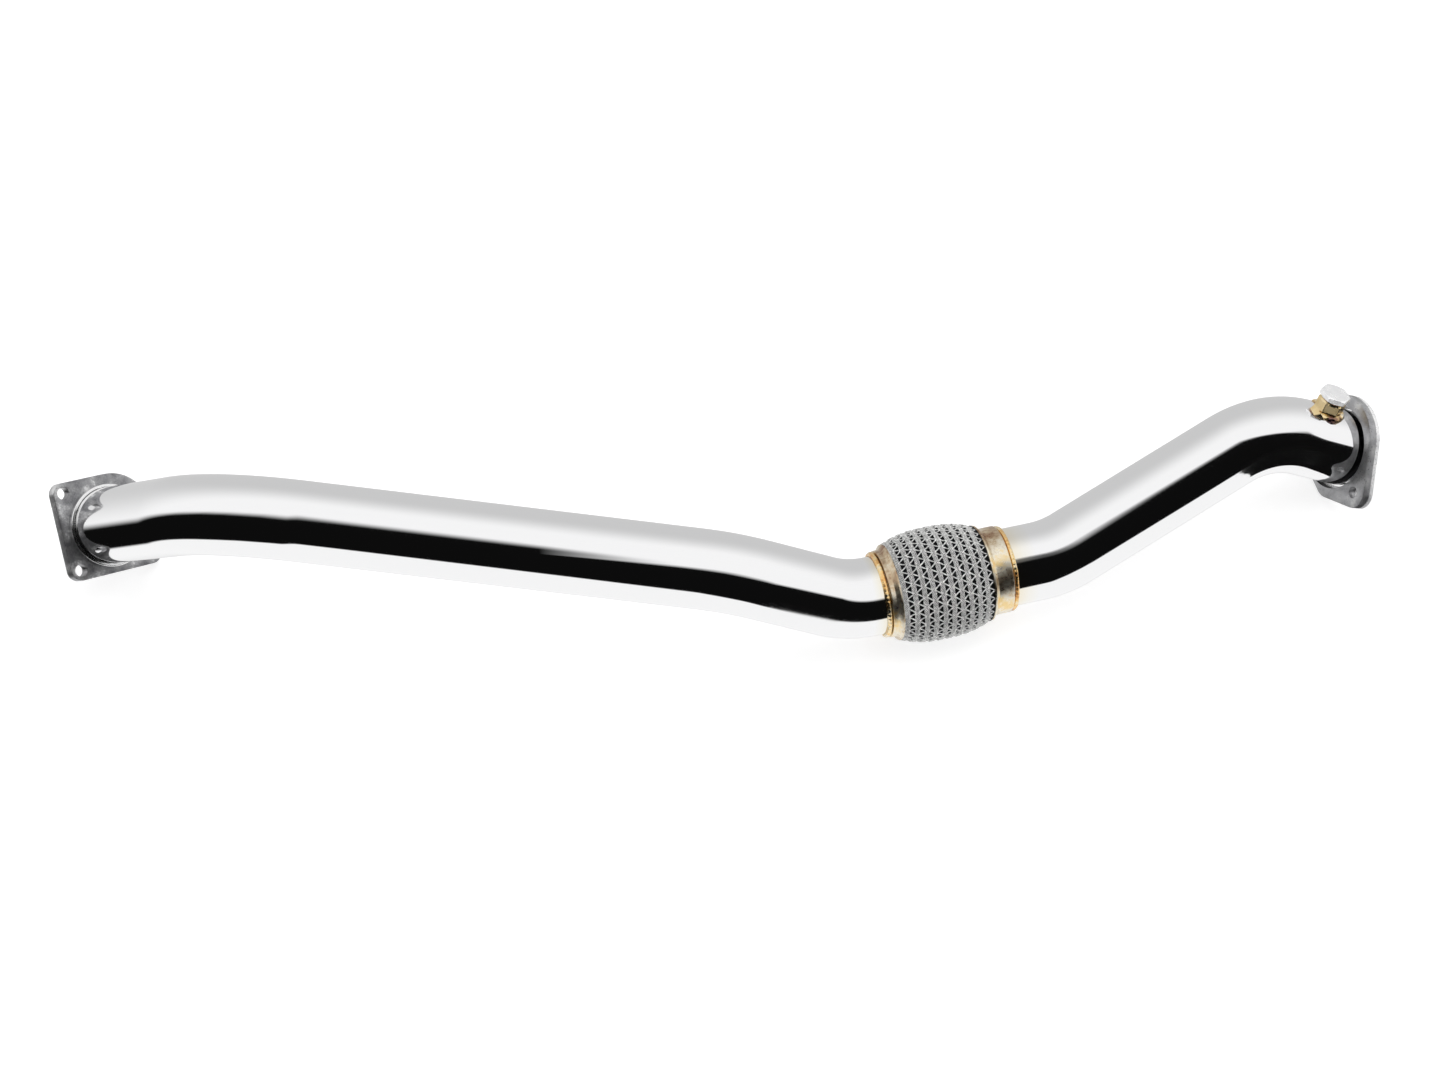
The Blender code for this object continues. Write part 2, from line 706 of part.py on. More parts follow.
# The bead follows the pipe's axis to where the trimmed end lies
slide = trim_height * math.tan(math.radians(TURBO_PLATE_TILT))
turbo_weld_frame = plate_frame @ Matrix.Translation((0, slide, trim_height))
turbo_weld = turned_mesh(flange_weld_profile(), ROUND_SIDES)
add_piece("turbo_flange_weld", turbo_weld, turbo_weld_frame, straw)

# Sensor bung, leaning back from the plate
bung_station = turbo_face.ahead(-BUNG_FROM_FLANGE).turned(BUNG_TURN)
bung_axis = bung_station.matrix() @ Matrix.Rotation(math.radians(90 + BUNG_LEAN), 4, "Y")
bung_top = PIPE_RADIUS + BUNG_HEIGHT
saddle = tube_mesh(turbo_line, PIPE_RADIUS + SEAT_GAP, capped=True)
saddle_cutter = add_cutter("bung_saddle", saddle, Matrix.Identity(4))
bung_low = PIPE_RADIUS - BUNG_ROOT_DEPTH
bung_hexagon = hex_mesh(BUNG_ACROSS_FLATS, bung_low, bung_top, BUNG_HEXAGON_TURN)
bung = add_piece("sensor_bung", bung_hexagon, bung_axis, gold)
cut(bung, saddle_cutter)
thread = rod_mesh(BUNG_THREAD_DIAMETER / 2, 0.0, 2 * bung_top, 20)
thread_cutter = add_cutter("bung_thread", thread, bung_axis)
cut(bung, thread_cutter)
cut(turbo_pipe, thread_cutter)

# The weld fills in round the hexagon and thins out over the pipe
corner = BUNG_ACROSS_FLATS / math.sqrt(3)
weld_outer = corner + BUNG_WELD_WIDTH
weld_shoulder = corner + BUNG_WELD_WIDTH * BUNG_WELD_SHOULDER
bung_bead = [
    (BUNG_THREAD_DIAMETER / 2, PIPE_RADIUS + BUNG_WELD_HEIGHT),
    (corner, PIPE_RADIUS + BUNG_WELD_HEIGHT),
    (weld_shoulder, PIPE_RADIUS + BUNG_WELD_HEIGHT / 2),
    (weld_outer, PIPE_RADIUS - BUNG_WELD_WIDTH),
    (weld_outer, bung_low),
    (BUNG_THREAD_DIAMETER / 2, bung_low),
]
bung_weld = add_piece("bung_weld", turned_mesh(bung_bead, 20), bung_axis, straw)
cut(bung_weld, saddle_cutter)
weld_socket = hex_mesh(BUNG_ACROSS_FLATS + 2 * SEAT_GAP, 0.0, bung_top, BUNG_HEXAGON_TURN)
cut(bung_weld, add_cutter("bung_weld_socket", weld_socket, bung_axis))

gasket = [
    (BUNG_THREAD_DIAMETER / 2 + GASKET_WALL, bung_top + SEAT_GAP + GASKET_THICKNESS),
    (BUNG_THREAD_DIAMETER / 2 + GASKET_WALL, bung_top + SEAT_GAP),
    (BUNG_THREAD_DIAMETER / 2, bung_top + SEAT_GAP),
    (BUNG_THREAD_DIAMETER / 2, bung_top + SEAT_GAP + GASKET_THICKNESS),
]
add_piece("plug_gasket", turned_mesh(gasket, 20), bung_axis, copper)
plug_seat = bung_top + GASKET_THICKNESS + 2 * SEAT_GAP
head_top = plug_seat + PLUG_HEAD_HEIGHT
head = hex_mesh(PLUG_ACROSS_FLATS, plug_seat, head_top, PLUG_HEXAGON_TURN)
plug = add_piece("bung_plug", head, bung_axis, plated)
shank_radius = BUNG_THREAD_DIAMETER / 2 - SEAT_GAP
shank = rod_mesh(shank_radius, plug_seat - PLUG_SHANK_LENGTH, plug_seat + PLUG_HEAD_HEIGHT / 2, 20)
crown_radius = PLUG_ACROSS_FLATS / 2 - PLUG_CROWN_LAND
crown_reach = PLUG_ACROSS_FLATS
crown_drop = (crown_reach - crown_radius) * math.tan(math.radians(PLUG_CROWN_SLOPE))
crown = [
    (crown_radius, head_top),
    (crown_radius, head_top + PLUG_HEAD_HEIGHT),
    (crown_reach, head_top + PLUG_HEAD_HEIGHT),
    (crown_reach, head_top - crown_drop),
]
cut(plug, add_cutter("plug_crown", turned_mesh(crown, 32), bung_axis))
join(plug, add_cutter("plug_shank", shank, bung_axis))

# Rest on the floor, with the box centred over the origin
lie.rotation_euler = [math.radians(turn) for turn in LIE_TURNS]
rest_on_floor()
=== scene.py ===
# %% [markdown]
# # A turbo downpipe on a white table
#
# The part is a bent exhaust pipe, polished like a mirror, with a knitted flexible joint,
# a square plate at its left end, an eared plate at its right end and a plugged sensor boss.
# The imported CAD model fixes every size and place. This notebook keeps those places and
# gives each piece the smoothness, the wires and the finish that the photograph shows.
# All sizes are in metres and all angles in degrees.

import math

import bmesh
import bpy
from mathutils import Matrix, Vector
from mathutils.geometry import convex_hull_2d


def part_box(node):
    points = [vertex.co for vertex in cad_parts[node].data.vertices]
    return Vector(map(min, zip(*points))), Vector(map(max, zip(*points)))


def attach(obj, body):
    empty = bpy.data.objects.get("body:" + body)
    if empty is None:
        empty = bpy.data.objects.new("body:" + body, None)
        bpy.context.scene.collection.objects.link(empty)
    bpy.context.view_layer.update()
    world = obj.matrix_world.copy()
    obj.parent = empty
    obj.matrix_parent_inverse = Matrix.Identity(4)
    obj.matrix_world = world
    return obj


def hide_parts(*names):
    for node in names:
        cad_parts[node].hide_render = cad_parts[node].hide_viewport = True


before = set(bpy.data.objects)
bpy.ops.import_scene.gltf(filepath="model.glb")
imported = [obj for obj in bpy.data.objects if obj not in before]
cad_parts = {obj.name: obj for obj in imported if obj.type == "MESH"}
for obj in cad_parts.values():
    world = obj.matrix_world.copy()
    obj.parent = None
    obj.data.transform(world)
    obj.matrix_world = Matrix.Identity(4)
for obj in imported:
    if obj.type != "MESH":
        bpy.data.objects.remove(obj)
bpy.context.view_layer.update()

# %% [markdown]
# ## The route of the pipe
#
# The real tubes are bent cold round a former. A tube bender needs three things for each
# bend: how far the plane of the bend turns about the tube, the radius of the centreline
# and the angle. A hand-drawn curve would also do for a render, but a bend list keeps each
# bend a true arc, and the other pieces can be set on its stations.

# %% The bend lists of both tubes
PIPE_RADIUS = 0.03175
PIPE_WALL = 0.0015

# A run has a length. A bend has the turn of its plane, its radius and its angle.
OUTLET_ROUTE = (
    ("run", 0.1229),
    ("bend", 0.0, 0.1270, 55.4),
    ("run", 0.3088),
    ("bend", -9.3, 0.1270, 22.0),
    ("run", 0.0604),
    ("bend", 137.4, 0.0794, 29.0),
    ("run", 0.0079),
)
TURBO_ROUTE = (
    ("run", 0.0308),
    ("bend", -39.0, 0.0952, 19.0),
    ("run", 0.1567),
    ("bend", -150.2, 0.0952, 43.0),
    ("run", 0.0388),
)
print("bends", sum(step[0] == "bend" for step in OUTLET_ROUTE + TURBO_ROUTE))


# %% A station on the centreline
class Station:
    """A place on the centreline, the way it heads, and the axis of the bend there."""

    def __init__(self, place, heading, normal):
        self.place = place
        self.heading = heading
        self.normal = normal

    def ahead(self, distance):
        return Station(self.place + self.heading * distance, self.heading, self.normal)

    def turned(self, degrees):
        twist = Matrix.Rotation(math.radians(degrees), 3, self.heading)
        return Station(self.place, self.heading, twist @ self.normal)

    def bent(self, radius, degrees):
        towards = self.normal.cross(self.heading)
        centre = self.place + towards * radius
        swing = Matrix.Rotation(math.radians(degrees), 3, self.normal)
        return Station(centre - swing @ towards * radius, swing @ self.heading, self.normal)

    def matrix(self):
        side = self.normal.cross(self.heading)
        columns = Matrix((side, self.normal, self.heading)).transposed()
        return Matrix.Translation(self.place) @ columns.to_4x4()


start = Station(Vector((0, 0, 0)), Vector((1, 0, 0)), Vector((0, 0, 1)))
print("the route starts at", start.place)

# %% Walk the bend lists
BEND_STEP = 1.5
RUN_STEP = 0.004


def walk(first, route):
    """Closely spaced stations along a route."""
    stations = [first]
    for step in route:
        here = stations[-1]
        if step[0] == "run":
            count = max(1, round(step[1] / RUN_STEP))
            stations += [here.ahead(step[1] * k / count) for k in range(1, count + 1)]
        else:
            here = here.turned(step[1])
            count = max(2, round(step[3] / BEND_STEP))
            stations += [here.bent(step[2], step[3] * k / count) for k in range(1, count + 1)]
    return stations


NECK_OUTLET = 0.0083
NECK_TURBO = 0.0175
BRAID_LENGTH = 0.0750

outlet_stations = walk(start, OUTLET_ROUTE)
flex_start = outlet_stations[-1]
flex_low = flex_start.ahead(NECK_OUTLET)
flex_high = flex_low.ahead(BRAID_LENGTH)
flex_end = flex_high.ahead(NECK_TURBO)
turbo_stations = walk(flex_end, TURBO_ROUTE)
turbo_face = turbo_stations[-1]
print("stations", len(outlet_stations), len(turbo_stations))

# %% [markdown]
# ## Laying the route in the frame
#
# The real part lies on the table on both plates and the joint. The same three turns that
# lay the CAD pipe on the floor lay this route. The shift could be typed in as well, but it
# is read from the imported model: the ring on the outlet plate sits square on the route's
# start, so the middle of its box gives the place of the start.

# %% Turn and shift the route
LIE_TURNS = (-50.9, -37.85, -34.77)
COLLAR_HEIGHT = 0.0050
COLLAR_GAP = 0.0003

lie_turn = Matrix.Rotation(math.radians(LIE_TURNS[2]), 4, "Z")
lie_turn = lie_turn @ Matrix.Rotation(math.radians(LIE_TURNS[1]), 4, "Y")
lie_turn = lie_turn @ Matrix.Rotation(math.radians(LIE_TURNS[0]), 4, "X")
collar_low, collar_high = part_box("outlet_collar")
collar_centre = (Vector(collar_low) + Vector(collar_high)) / 2
collar_middle = (COLLAR_GAP + COLLAR_HEIGHT) / 2
lie_shift = collar_centre - lie_turn @ (start.heading * collar_middle)
lie = Matrix.Translation(lie_shift) @ lie_turn
print("shift", lie_shift)

# %% [markdown]
# ## From a shape to a finished piece
#
# A piece could keep its place in its object, but the export puts every object at the
# origin before it bakes, and a pattern on Object coordinates would slide. So the place
# goes into the mesh. The second helper then ties the piece to the one rigid body and lets
# it stand for its CAD node.

# %% Finish a mesh and stand it in for the CAD
SMOOTH_ANGLE = 32.0


def new_piece(name, shape, place=None, smooth_angle=SMOOTH_ANGLE):
    """A finished object at the origin: the place is baked into the mesh."""
    mesh = bpy.data.meshes.new(name)
    bmesh.ops.recalc_face_normals(shape, faces=shape.faces)
    shape.to_mesh(mesh)
    shape.free()
    mesh.transform(lie if place is None else lie @ place)
    mesh.shade_smooth()
    mesh.set_sharp_from_angle(angle=math.radians(smooth_angle))
    piece = bpy.data.objects.new(name, mesh)
    bpy.context.scene.collection.objects.link(piece)
    return piece


def stand_for(piece, node):
    """The piece rides with the part and takes the place of its CAD node."""
    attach(piece, "root")
    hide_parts(node)
    print(piece.name, "stands for", node, "with", len(piece.data.polygons), "faces")


print("edges are smooth below", SMOOTH_ANGLE, "degrees")

# %% [markdown]
# ## The two tubes
#
# Each real tube is one length of thin stock. A curve with a bevel would give its outside
# quickly, but no wall at the mouths. Here rings of points follow the stations, once at
# the outer radius and once at the bore, and the two ends join them. The ring's side is
# carried from station to station without a twist. Each vertex also stores its distance
# along the tube, which the heat tint near the welds reads later.

# %% Sweep a tube along stations
TURN_SIDES = 128


def join_rings(shape, ring, following):
    """A band of faces between two closed rings of as many points."""
    for k in range(len(ring)):
        j = (k + 1) % len(ring)
        shape.faces.new((ring[k], ring[j], following[j], following[k]))


def write_values(owner, name, values):
    """One number for each vertex, for a shader to read."""
    layer = owner.data.attributes.new(name, "FLOAT", "POINT")
    layer.data.foreach_set("value", values)


def swept_tube(name, stations, outer, wall, sides=TURN_SIDES):
    """A tube with a real wall along the stations, with its length on each vertex."""
    shape = bmesh.new()
    side = stations[0].normal.cross(stations[0].heading)
    frames = []
    lengths = [0.0]
    for station in stations:
        side = (side - station.heading * side.dot(station.heading)).normalized()
        if frames:
            lengths.append(lengths[-1] + (station.place - frames[-1][0]).length)
        frames.append((station.place, side, station.heading.cross(side)))
    layers = []
    for radius in (outer, outer - wall):
        layer = []
        for place, side, up in frames:
            ring = []
            for k in range(sides):
                angle = math.tau * k / sides
                offset = side * math.cos(angle) + up * math.sin(angle)
                ring.append(shape.verts.new(place + offset * radius))
            layer.append(ring)
        layers.append(layer)
    for layer in layers:
        for ring, following in zip(layer, layer[1:]):
            join_rings(shape, ring, following)
    for end in (0, -1):
        join_rings(shape, layers[0][end], layers[1][end])
    piece = new_piece(name, shape)
    values = [travel for _ in layers for travel in lengths for _ in range(sides)]
    write_values(piece, "along", values)
    write_values(piece, "from_end", [lengths[-1] - value for value in values])
    return piece


print("a tube has", TURN_SIDES, "sides")

# %% Both tubes, from plate to joint and from joint to plate
SEAT_GAP = 0.0003
OUTLET_THICKNESS = 0.0100
TURBO_THICKNESS = 0.0103
END_RECESS = 0.0025

outlet_tip = start.ahead(END_RECESS - OUTLET_THICKNESS)
outlet_run = [outlet_tip, *outlet_stations, flex_start.ahead(NECK_OUTLET - SEAT_GAP)]
outlet_pipe = swept_tube("outlet_pipe_polished", outlet_run, PIPE_RADIUS, PIPE_WALL)
stand_for(outlet_pipe, "outlet_pipe")

turbo_tip = turbo_face.ahead(TURBO_THICKNESS - END_RECESS)
turbo_run = [flex_high.ahead(SEAT_GAP), *turbo_stations, turbo_tip]
turbo_pipe = swept_tube("turbo_pipe_polished", turbo_run, PIPE_RADIUS, PIPE_WALL)
stand_for(turbo_pipe, "turbo_pipe")

# %% [markdown]
# ## The outlet plate
#
# The real plate is cut from thick sheet: a square with three small corners and one wide
# round one, three bolt holes and the tube's hole. A cube with boolean cuts would leave
# ragged edges. A flat curve fills its outline, leaves its holes open and rounds its edges
# in one step, and then becomes a mesh.


# %% Arcs, circles and a plate from outlines
def arc(centre, radius, first, last, steps):
    """Points on an arc, angles in degrees, both ends included."""
    points = []
    for k in range(steps + 1):
        angle = math.radians(first + (last - first) * k / steps)
        points.append((centre[0] + radius * math.cos(angle), centre[1] + radius * math.sin(angle)))
    return points


def circle(centre, radius, steps):
    return arc(centre, radius, 0.0, 360.0, steps)[:-1]


PLATE_SMOOTH_ANGLE = 25.0
PLATE_EDGE_STEPS = 3
MERGE_DISTANCE = 0.000005


def plate(name, outlines, thickness, place, edge):
    """A flat plate from z = 0 up, with holes and a small rounded edge."""
    curve = bpy.data.curves.new(name, "CURVE")
    curve.dimensions = "2D"
    curve.fill_mode = "BOTH"
    curve.extrude = thickness / 2 - edge
    curve.bevel_depth = edge
    curve.bevel_resolution = PLATE_EDGE_STEPS
    curve.offset = -edge
    for outline in outlines:
        line = curve.splines.new("POLY")
        line.points.add(len(outline) - 1)
        line.use_cyclic_u = True
        for knot, point in zip(line.points, outline):
            knot.co = (point[0], point[1], 0.0, 1.0)
    holder = bpy.data.objects.new(name, curve)
    bpy.context.scene.collection.objects.link(holder)
    bpy.context.view_layer.update()
    graph = bpy.context.evaluated_depsgraph_get()
    mesh = bpy.data.meshes.new_from_object(holder.evaluated_get(graph))
    bpy.data.objects.remove(holder, do_unlink=True)
    shape = bmesh.new()
    shape.from_mesh(mesh)
    bmesh.ops.remove_doubles(shape, verts=shape.verts, dist=MERGE_DISTANCE)
    bmesh.ops.translate(shape, verts=shape.verts, vec=(0, 0, thickness / 2))
    bpy.data.meshes.remove(mesh)
    return new_piece(name, shape, place, PLATE_SMOOTH_ANGLE)


print("a quarter turn in two steps", arc((0, 0), 1.0, 0, 90, 2))

# %% The square plate
OUTLET_SIDE = 0.0820
OUTLET_CORNER = 0.0092
OUTLET_CUT_CORNER = 0.0345
OUTLET_BOLTS = 0.0325
OUTLET_HOLE = 0.0050
OUTLET_TURN = 23.1
OUTLET_RISE = 0.0014
OUTLET_EDGE = 0.0006
SOCKET_RADIUS = PIPE_RADIUS + 0.0004
CORNER_STEPS = 24
BORE_STEPS = 96
HOLE_STEPS = 40

half = OUTLET_SIDE / 2
wide_corner = (1, 1, OUTLET_CUT_CORNER)
small_corners = ((-1, 1, OUTLET_CORNER), (-1, -1, OUTLET_CORNER), (1, -1, OUTLET_CORNER))
outline = []
for index, (x, y, radius) in enumerate((wide_corner, *small_corners)):
    centre = (x * (half - radius), y * (half - radius) + OUTLET_RISE)
    outline += arc(centre, radius, index * 90, index * 90 + 90, CORNER_STEPS)
holes = [circle((0, 0), SOCKET_RADIUS, BORE_STEPS)]
for x, y, _ in small_corners:
    bolt = (x * OUTLET_BOLTS, y * OUTLET_BOLTS + OUTLET_RISE)
    holes.append(circle(bolt, OUTLET_HOLE, HOLE_STEPS))
outlet_place = start.turned(OUTLET_TURN).ahead(-OUTLET_THICKNESS).matrix()
outlet_outlines = [outline, *holes]
outlet_plate = plate("outlet_plate_ground", outlet_outlines, OUTLET_THICKNESS, outlet_place, OUTLET_EDGE)
stand_for(outlet_plate, "outlet_flange")

# %% [markdown]
# ## The bright ring
#
# A low turned ring stands on the plate round the tube. It could be part of the plate, but
# on the real part it is a piece of its own, brighter than the plate. A profile of radius
# and height, turned about the tube's axis, gives it the round upper edge of a lathe.


# %% Turn the ring from its profile
def turned(name, profile, place, sides=TURN_SIDES):
    """A ring turned about local Z from a closed line of (radius, height) points."""
    shape = bmesh.new()
    rings = []
    for radius, height in profile:
        ring = []
        for k in range(sides):
            angle = math.tau * k / sides
            ring.append(shape.verts.new((radius * math.cos(angle), radius * math.sin(angle), height)))
        rings.append(ring)
    for ring, following in zip(rings, [*rings[1:], rings[0]]):
        join_rings(shape, ring, following)
    return new_piece(name, shape, place)


COLLAR_WALL = 0.0027
COLLAR_EDGE = 0.0009
COLLAR_EDGE_STEPS = 6

collar_outer = PIPE_RADIUS + COLLAR_WALL
collar_edge = (collar_outer - COLLAR_EDGE, COLLAR_HEIGHT - COLLAR_EDGE)
collar_profile = [(SOCKET_RADIUS, COLLAR_GAP), (collar_outer, COLLAR_GAP)]
collar_profile += arc(collar_edge, COLLAR_EDGE, 0, 90, COLLAR_EDGE_STEPS)
collar_profile += [(SOCKET_RADIUS, COLLAR_HEIGHT)]
outlet_collar = turned("outlet_collar_bright", collar_profile, start.matrix())
stand_for(outlet_collar, "outlet_collar")

# %% [markdown]
# ## The turbo plate
#
# This plate is a disc with two bolt ears and a fuller lower side. Its outline could be
# drawn point by point, but it is really a band drawn tight round those circles, which the
# convex hull of their points gives. The plate stands six degrees off square to the pipe.
# The pipe sits in a wide recess, so the plate is two layers: a front one with the wide
# hole and a back one with the tube's own bore.

# %% The outline, a band round four circles
DISC_RADIUS = PIPE_RADIUS + 0.0087
DISC_SHIFT = (-0.0017, 0.0029)
BOLT_RADIUS = DISC_RADIUS + 0.0077
EAR_RADIUS = 0.0129
EAR_ANGLES = (-118.0, 25.0)
LOBE_CENTRE = (0.0075, -0.0304)
LOBE_RADIUS = 0.0162
DISC_STEPS = 180
LOBE_STEPS = 120
EAR_STEPS = 96

bolts = []
for angle in EAR_ANGLES:
    along = math.radians(angle)
    bolts.append((BOLT_RADIUS * math.cos(along), BOLT_RADIUS * math.sin(along)))
points = circle((0, 0), DISC_RADIUS, DISC_STEPS) + circle(LOBE_CENTRE, LOBE_RADIUS, LOBE_STEPS)
for place in bolts:
    points += circle(place, EAR_RADIUS, EAR_STEPS)


def shifted(line, shift):
    return [(x + shift[0], y + shift[1]) for x, y in line]


band = shifted([points[index] for index in convex_hull_2d(points)], DISC_SHIFT)
print("band points", len(band))

# %% The two layers of the plate
EAR_HOLE = 0.0046
TURBO_TILT = -6.0
TURBO_TURN = 69.9
TURBO_EDGE = 0.0004
RECESS_RADIUS = PIPE_RADIUS + 0.0029
RECESS_DROP = 0.0010
RECESS_DEPTH = 0.0067
BORE_CLEARANCE = 0.0006

tilt = Matrix.Rotation(math.radians(TURBO_TILT), 4, "X")
turbo_place = turbo_face.turned(TURBO_TURN).matrix() @ tilt
bolt_holes = [shifted(circle(place, EAR_HOLE, HOLE_STEPS), DISC_SHIFT) for place in bolts]
recess = circle((0, -RECESS_DROP), RECESS_RADIUS, BORE_STEPS)
front_half = plate("turbo_plate_front", [band, recess, *bolt_holes], RECESS_DEPTH, turbo_place, TURBO_EDGE)
stand_for(front_half, "turbo_flange")
drift = math.tan(math.radians(TURBO_TILT)) * TURBO_THICKNESS
bore = circle((0, drift), SOCKET_RADIUS + BORE_CLEARANCE, BORE_STEPS)
back_depth = TURBO_THICKNESS - RECESS_DEPTH
back_place = turbo_place @ Matrix.Translation((0, 0, RECESS_DEPTH))
back_half = plate("turbo_plate_back", [band, bore, *bolt_holes], back_depth, back_place, TURBO_EDGE)
stand_for(back_half, "turbo_flange")

# %% [markdown]
# ## The joint's two collars
#
# At each end of the flexible joint sits a turned collar: a hub inside the barrel, a rim
# that holds the wires, and a neck that slopes down to the tube. Both have one profile
# with a neck of its own length, so one function serves both, and the second is turned
# end for end.

# %% The collars' profile
NECK_WALL = 0.0033
NECK_EDGE = 0.0008
RIM_RADIUS = PIPE_RADIUS + 0.0073
RIM_THICKNESS = 0.0017
RIM_EDGE = 0.0006
RIM_SLOPE = 0.6
SLOPE_END = 0.8
SLOPE_FOOT = 1.25
CAP_EDGE_STEPS = 5
HUB_LENGTH = 0.0070


def cap_profile(neck):
    """The hub above z = 0, the rim just below it, and a neck of the given length."""
    neck_radius = SOCKET_RADIUS + NECK_WALL
    slope = (RIM_RADIUS - neck_radius) * RIM_SLOPE
    profile = [(neck_radius, HUB_LENGTH), (neck_radius, 0.0)]
    rim_centre = RIM_RADIUS - RIM_EDGE
    profile += arc((rim_centre, -RIM_EDGE), RIM_EDGE, 90, 0, CAP_EDGE_STEPS)
    profile += arc((rim_centre, -RIM_THICKNESS + RIM_EDGE), RIM_EDGE, 0, -60, CAP_EDGE_STEPS)
    profile += [(neck_radius + NECK_EDGE, -RIM_THICKNESS - slope * SLOPE_END)]
    profile += [(neck_radius, -RIM_THICKNESS - slope * SLOPE_FOOT)]
    profile += arc((neck_radius - NECK_EDGE, -neck + NECK_EDGE), NECK_EDGE, 0, -90, CAP_EDGE_STEPS)
    profile += [(SOCKET_RADIUS, -neck), (SOCKET_RADIUS, HUB_LENGTH)]
    return profile


end_for_end = Matrix.Rotation(math.pi, 4, "X")
cap_outlet = turned("flex_collar_outlet", cap_profile(NECK_OUTLET), flex_low.matrix())
stand_for(cap_outlet, "flex_cap_outlet")
cap_turbo = turned("flex_collar_turbo", cap_profile(NECK_TURBO), flex_high.matrix() @ end_for_end)
stand_for(cap_turbo, "flex_cap_turbo")

# %% [markdown]
# ## The weld beads
#
# A weld bead is a row of small overlapping puddles. A plain ring with a bumpy material
# would look right from afar, but its edge would stay a perfect circle. So the bead's
# radius and its middle line swing a little from puddle to puddle, by sine waves that
# close after one turn.

# %% A ring bead
PUDDLE_STEPS = 8
BEAD_STEPS = 10
BEAD_LEAST = 0.92
PUDDLE_SWELL = 0.08
SLOW_SWELL = 0.05
SLOW_WANDER = 0.10
QUICK_WANDER = 0.06
PUDDLE_LEAN = 0.22
BEAD_SMOOTH_ANGLE = 60.0


def ring_bead(name, inner, height, width, place, puddles, seed):
    """A ring bead above z = 0 with a scalloped surface."""
    shape = bmesh.new()
    around = puddles * PUDDLE_STEPS
    rows = []
    for k in range(around):
        turn = math.tau * k / around
        phase = (k % PUDDLE_STEPS) / PUDDLE_STEPS
        puddle = math.sin(math.pi * phase)
        swell = BEAD_LEAST + PUDDLE_SWELL * puddle + SLOW_SWELL * math.sin(turn * 7 + 3 * seed)
        wander = SLOW_WANDER * math.sin(turn * 5 + seed) + QUICK_WANDER * math.sin(turn * 13 + 2 * seed)
        row = []
        for step in range(BEAD_STEPS + 1):
            angle = math.pi * step / BEAD_STEPS
            lean = PUDDLE_LEAN * puddle * math.sin(angle)
            radius = inner + height * swell * math.sin(angle)
            z = width * (0.5 - 0.5 * math.cos(angle)) * (1 + wander * math.sin(angle))
            turn_here = turn + lean * math.tau / puddles * 0.5
            row.append(shape.verts.new((radius * math.cos(turn_here), radius * math.sin(turn_here), z)))
        rows.append(row)
    for row, following in zip(rows, [*rows[1:], rows[0]]):
        join_rings(shape, row, following)
    return new_piece(name, shape, place, BEAD_SMOOTH_ANGLE)


print("a puddle has", PUDDLE_STEPS * BEAD_STEPS, "faces on its outside")

# %% The beads at both ends of the joint
WELD_WIDTH = 0.0042
WELD_HEIGHT = 0.0030
WELD_CLEARANCE = 0.0002
WELD_PUDDLES = 56

lifted = Matrix.Translation((0, 0, SEAT_GAP))
weld_inner = PIPE_RADIUS + WELD_CLEARANCE
weld_outlet = ring_bead(
    "flex_bead_outlet",
    weld_inner,
    WELD_HEIGHT,
    WELD_WIDTH,
    flex_start.matrix() @ end_for_end @ lifted,
    WELD_PUDDLES,
    seed=1.3,
)
stand_for(weld_outlet, "flex_weld_outlet")
weld_turbo = ring_bead(
    "flex_bead_turbo",
    weld_inner,
    WELD_HEIGHT,
    WELD_WIDTH,
    flex_end.matrix() @ lifted,
    WELD_PUDDLES,
    seed=2.9,
)
stand_for(weld_turbo, "flex_weld_turbo")

# %% [markdown]
# ## The knitted barrel
#
# The real barrel is a sleeve of steel wire, knitted in rings. Each ring is a tight band
# of waving wires, and a zigzag of wires side by side bridges the gap to the next band,
# which leaves a row of holes. An image or a bump pattern would stay flat at the barrel's
# edge, so the wires are real ones. One cell holds a short stretch of a band and another
# one a turn of the zigzag, and a node tree repeats each of them all round.

# %% The barrel's sizes and one wire
BARREL_END = PIPE_RADIUS + 0.0078
BARREL_MIDDLE = PIPE_RADIUS + 0.0145
BARREL_FULLNESS = 2.6
KNIT_RINGS = 10
CELLS_AROUND = 33
WIRE = 0.00029
WIRE_SIDES = 4


def wire_path(shape, path):
    """An open wire of four sides along a list of points, added to a bmesh."""
    rings = []
    for index, point in enumerate(path):
        before = path[max(index - 1, 0)]
        after = path[min(index + 1, len(path) - 1)]
        heading = (after - before).normalized()
        side = heading.cross(Vector((0, 0, 1))).normalized()
        up = side.cross(heading)
        ring = []
        for k in range(WIRE_SIDES):
            angle = math.tau * (k + 0.5) / WIRE_SIDES
            ring.append(shape.verts.new(point + (side * math.cos(angle) + up * math.sin(angle)) * WIRE))
        rings.append(ring)
    for ring, following in zip(rings, rings[1:]):
        join_rings(shape, ring, following)


# A cell is CELL.x long round the barrel and CELL.y long along it.
CELL = Vector((math.tau * BARREL_MIDDLE / CELLS_AROUND, BRAID_LENGTH / KNIT_RINGS, 1.0))
print("cell", CELL.x, "by", CELL.y)

# %% The five waving wires of a band
BAND_MIDDLES = (-0.46, -0.36, -0.25, -0.14, -0.04)
BAND_SWING = 0.028
BAND_WAVES = 4
BAND_LIFT = 0.00045
BAND_STEPS = 16


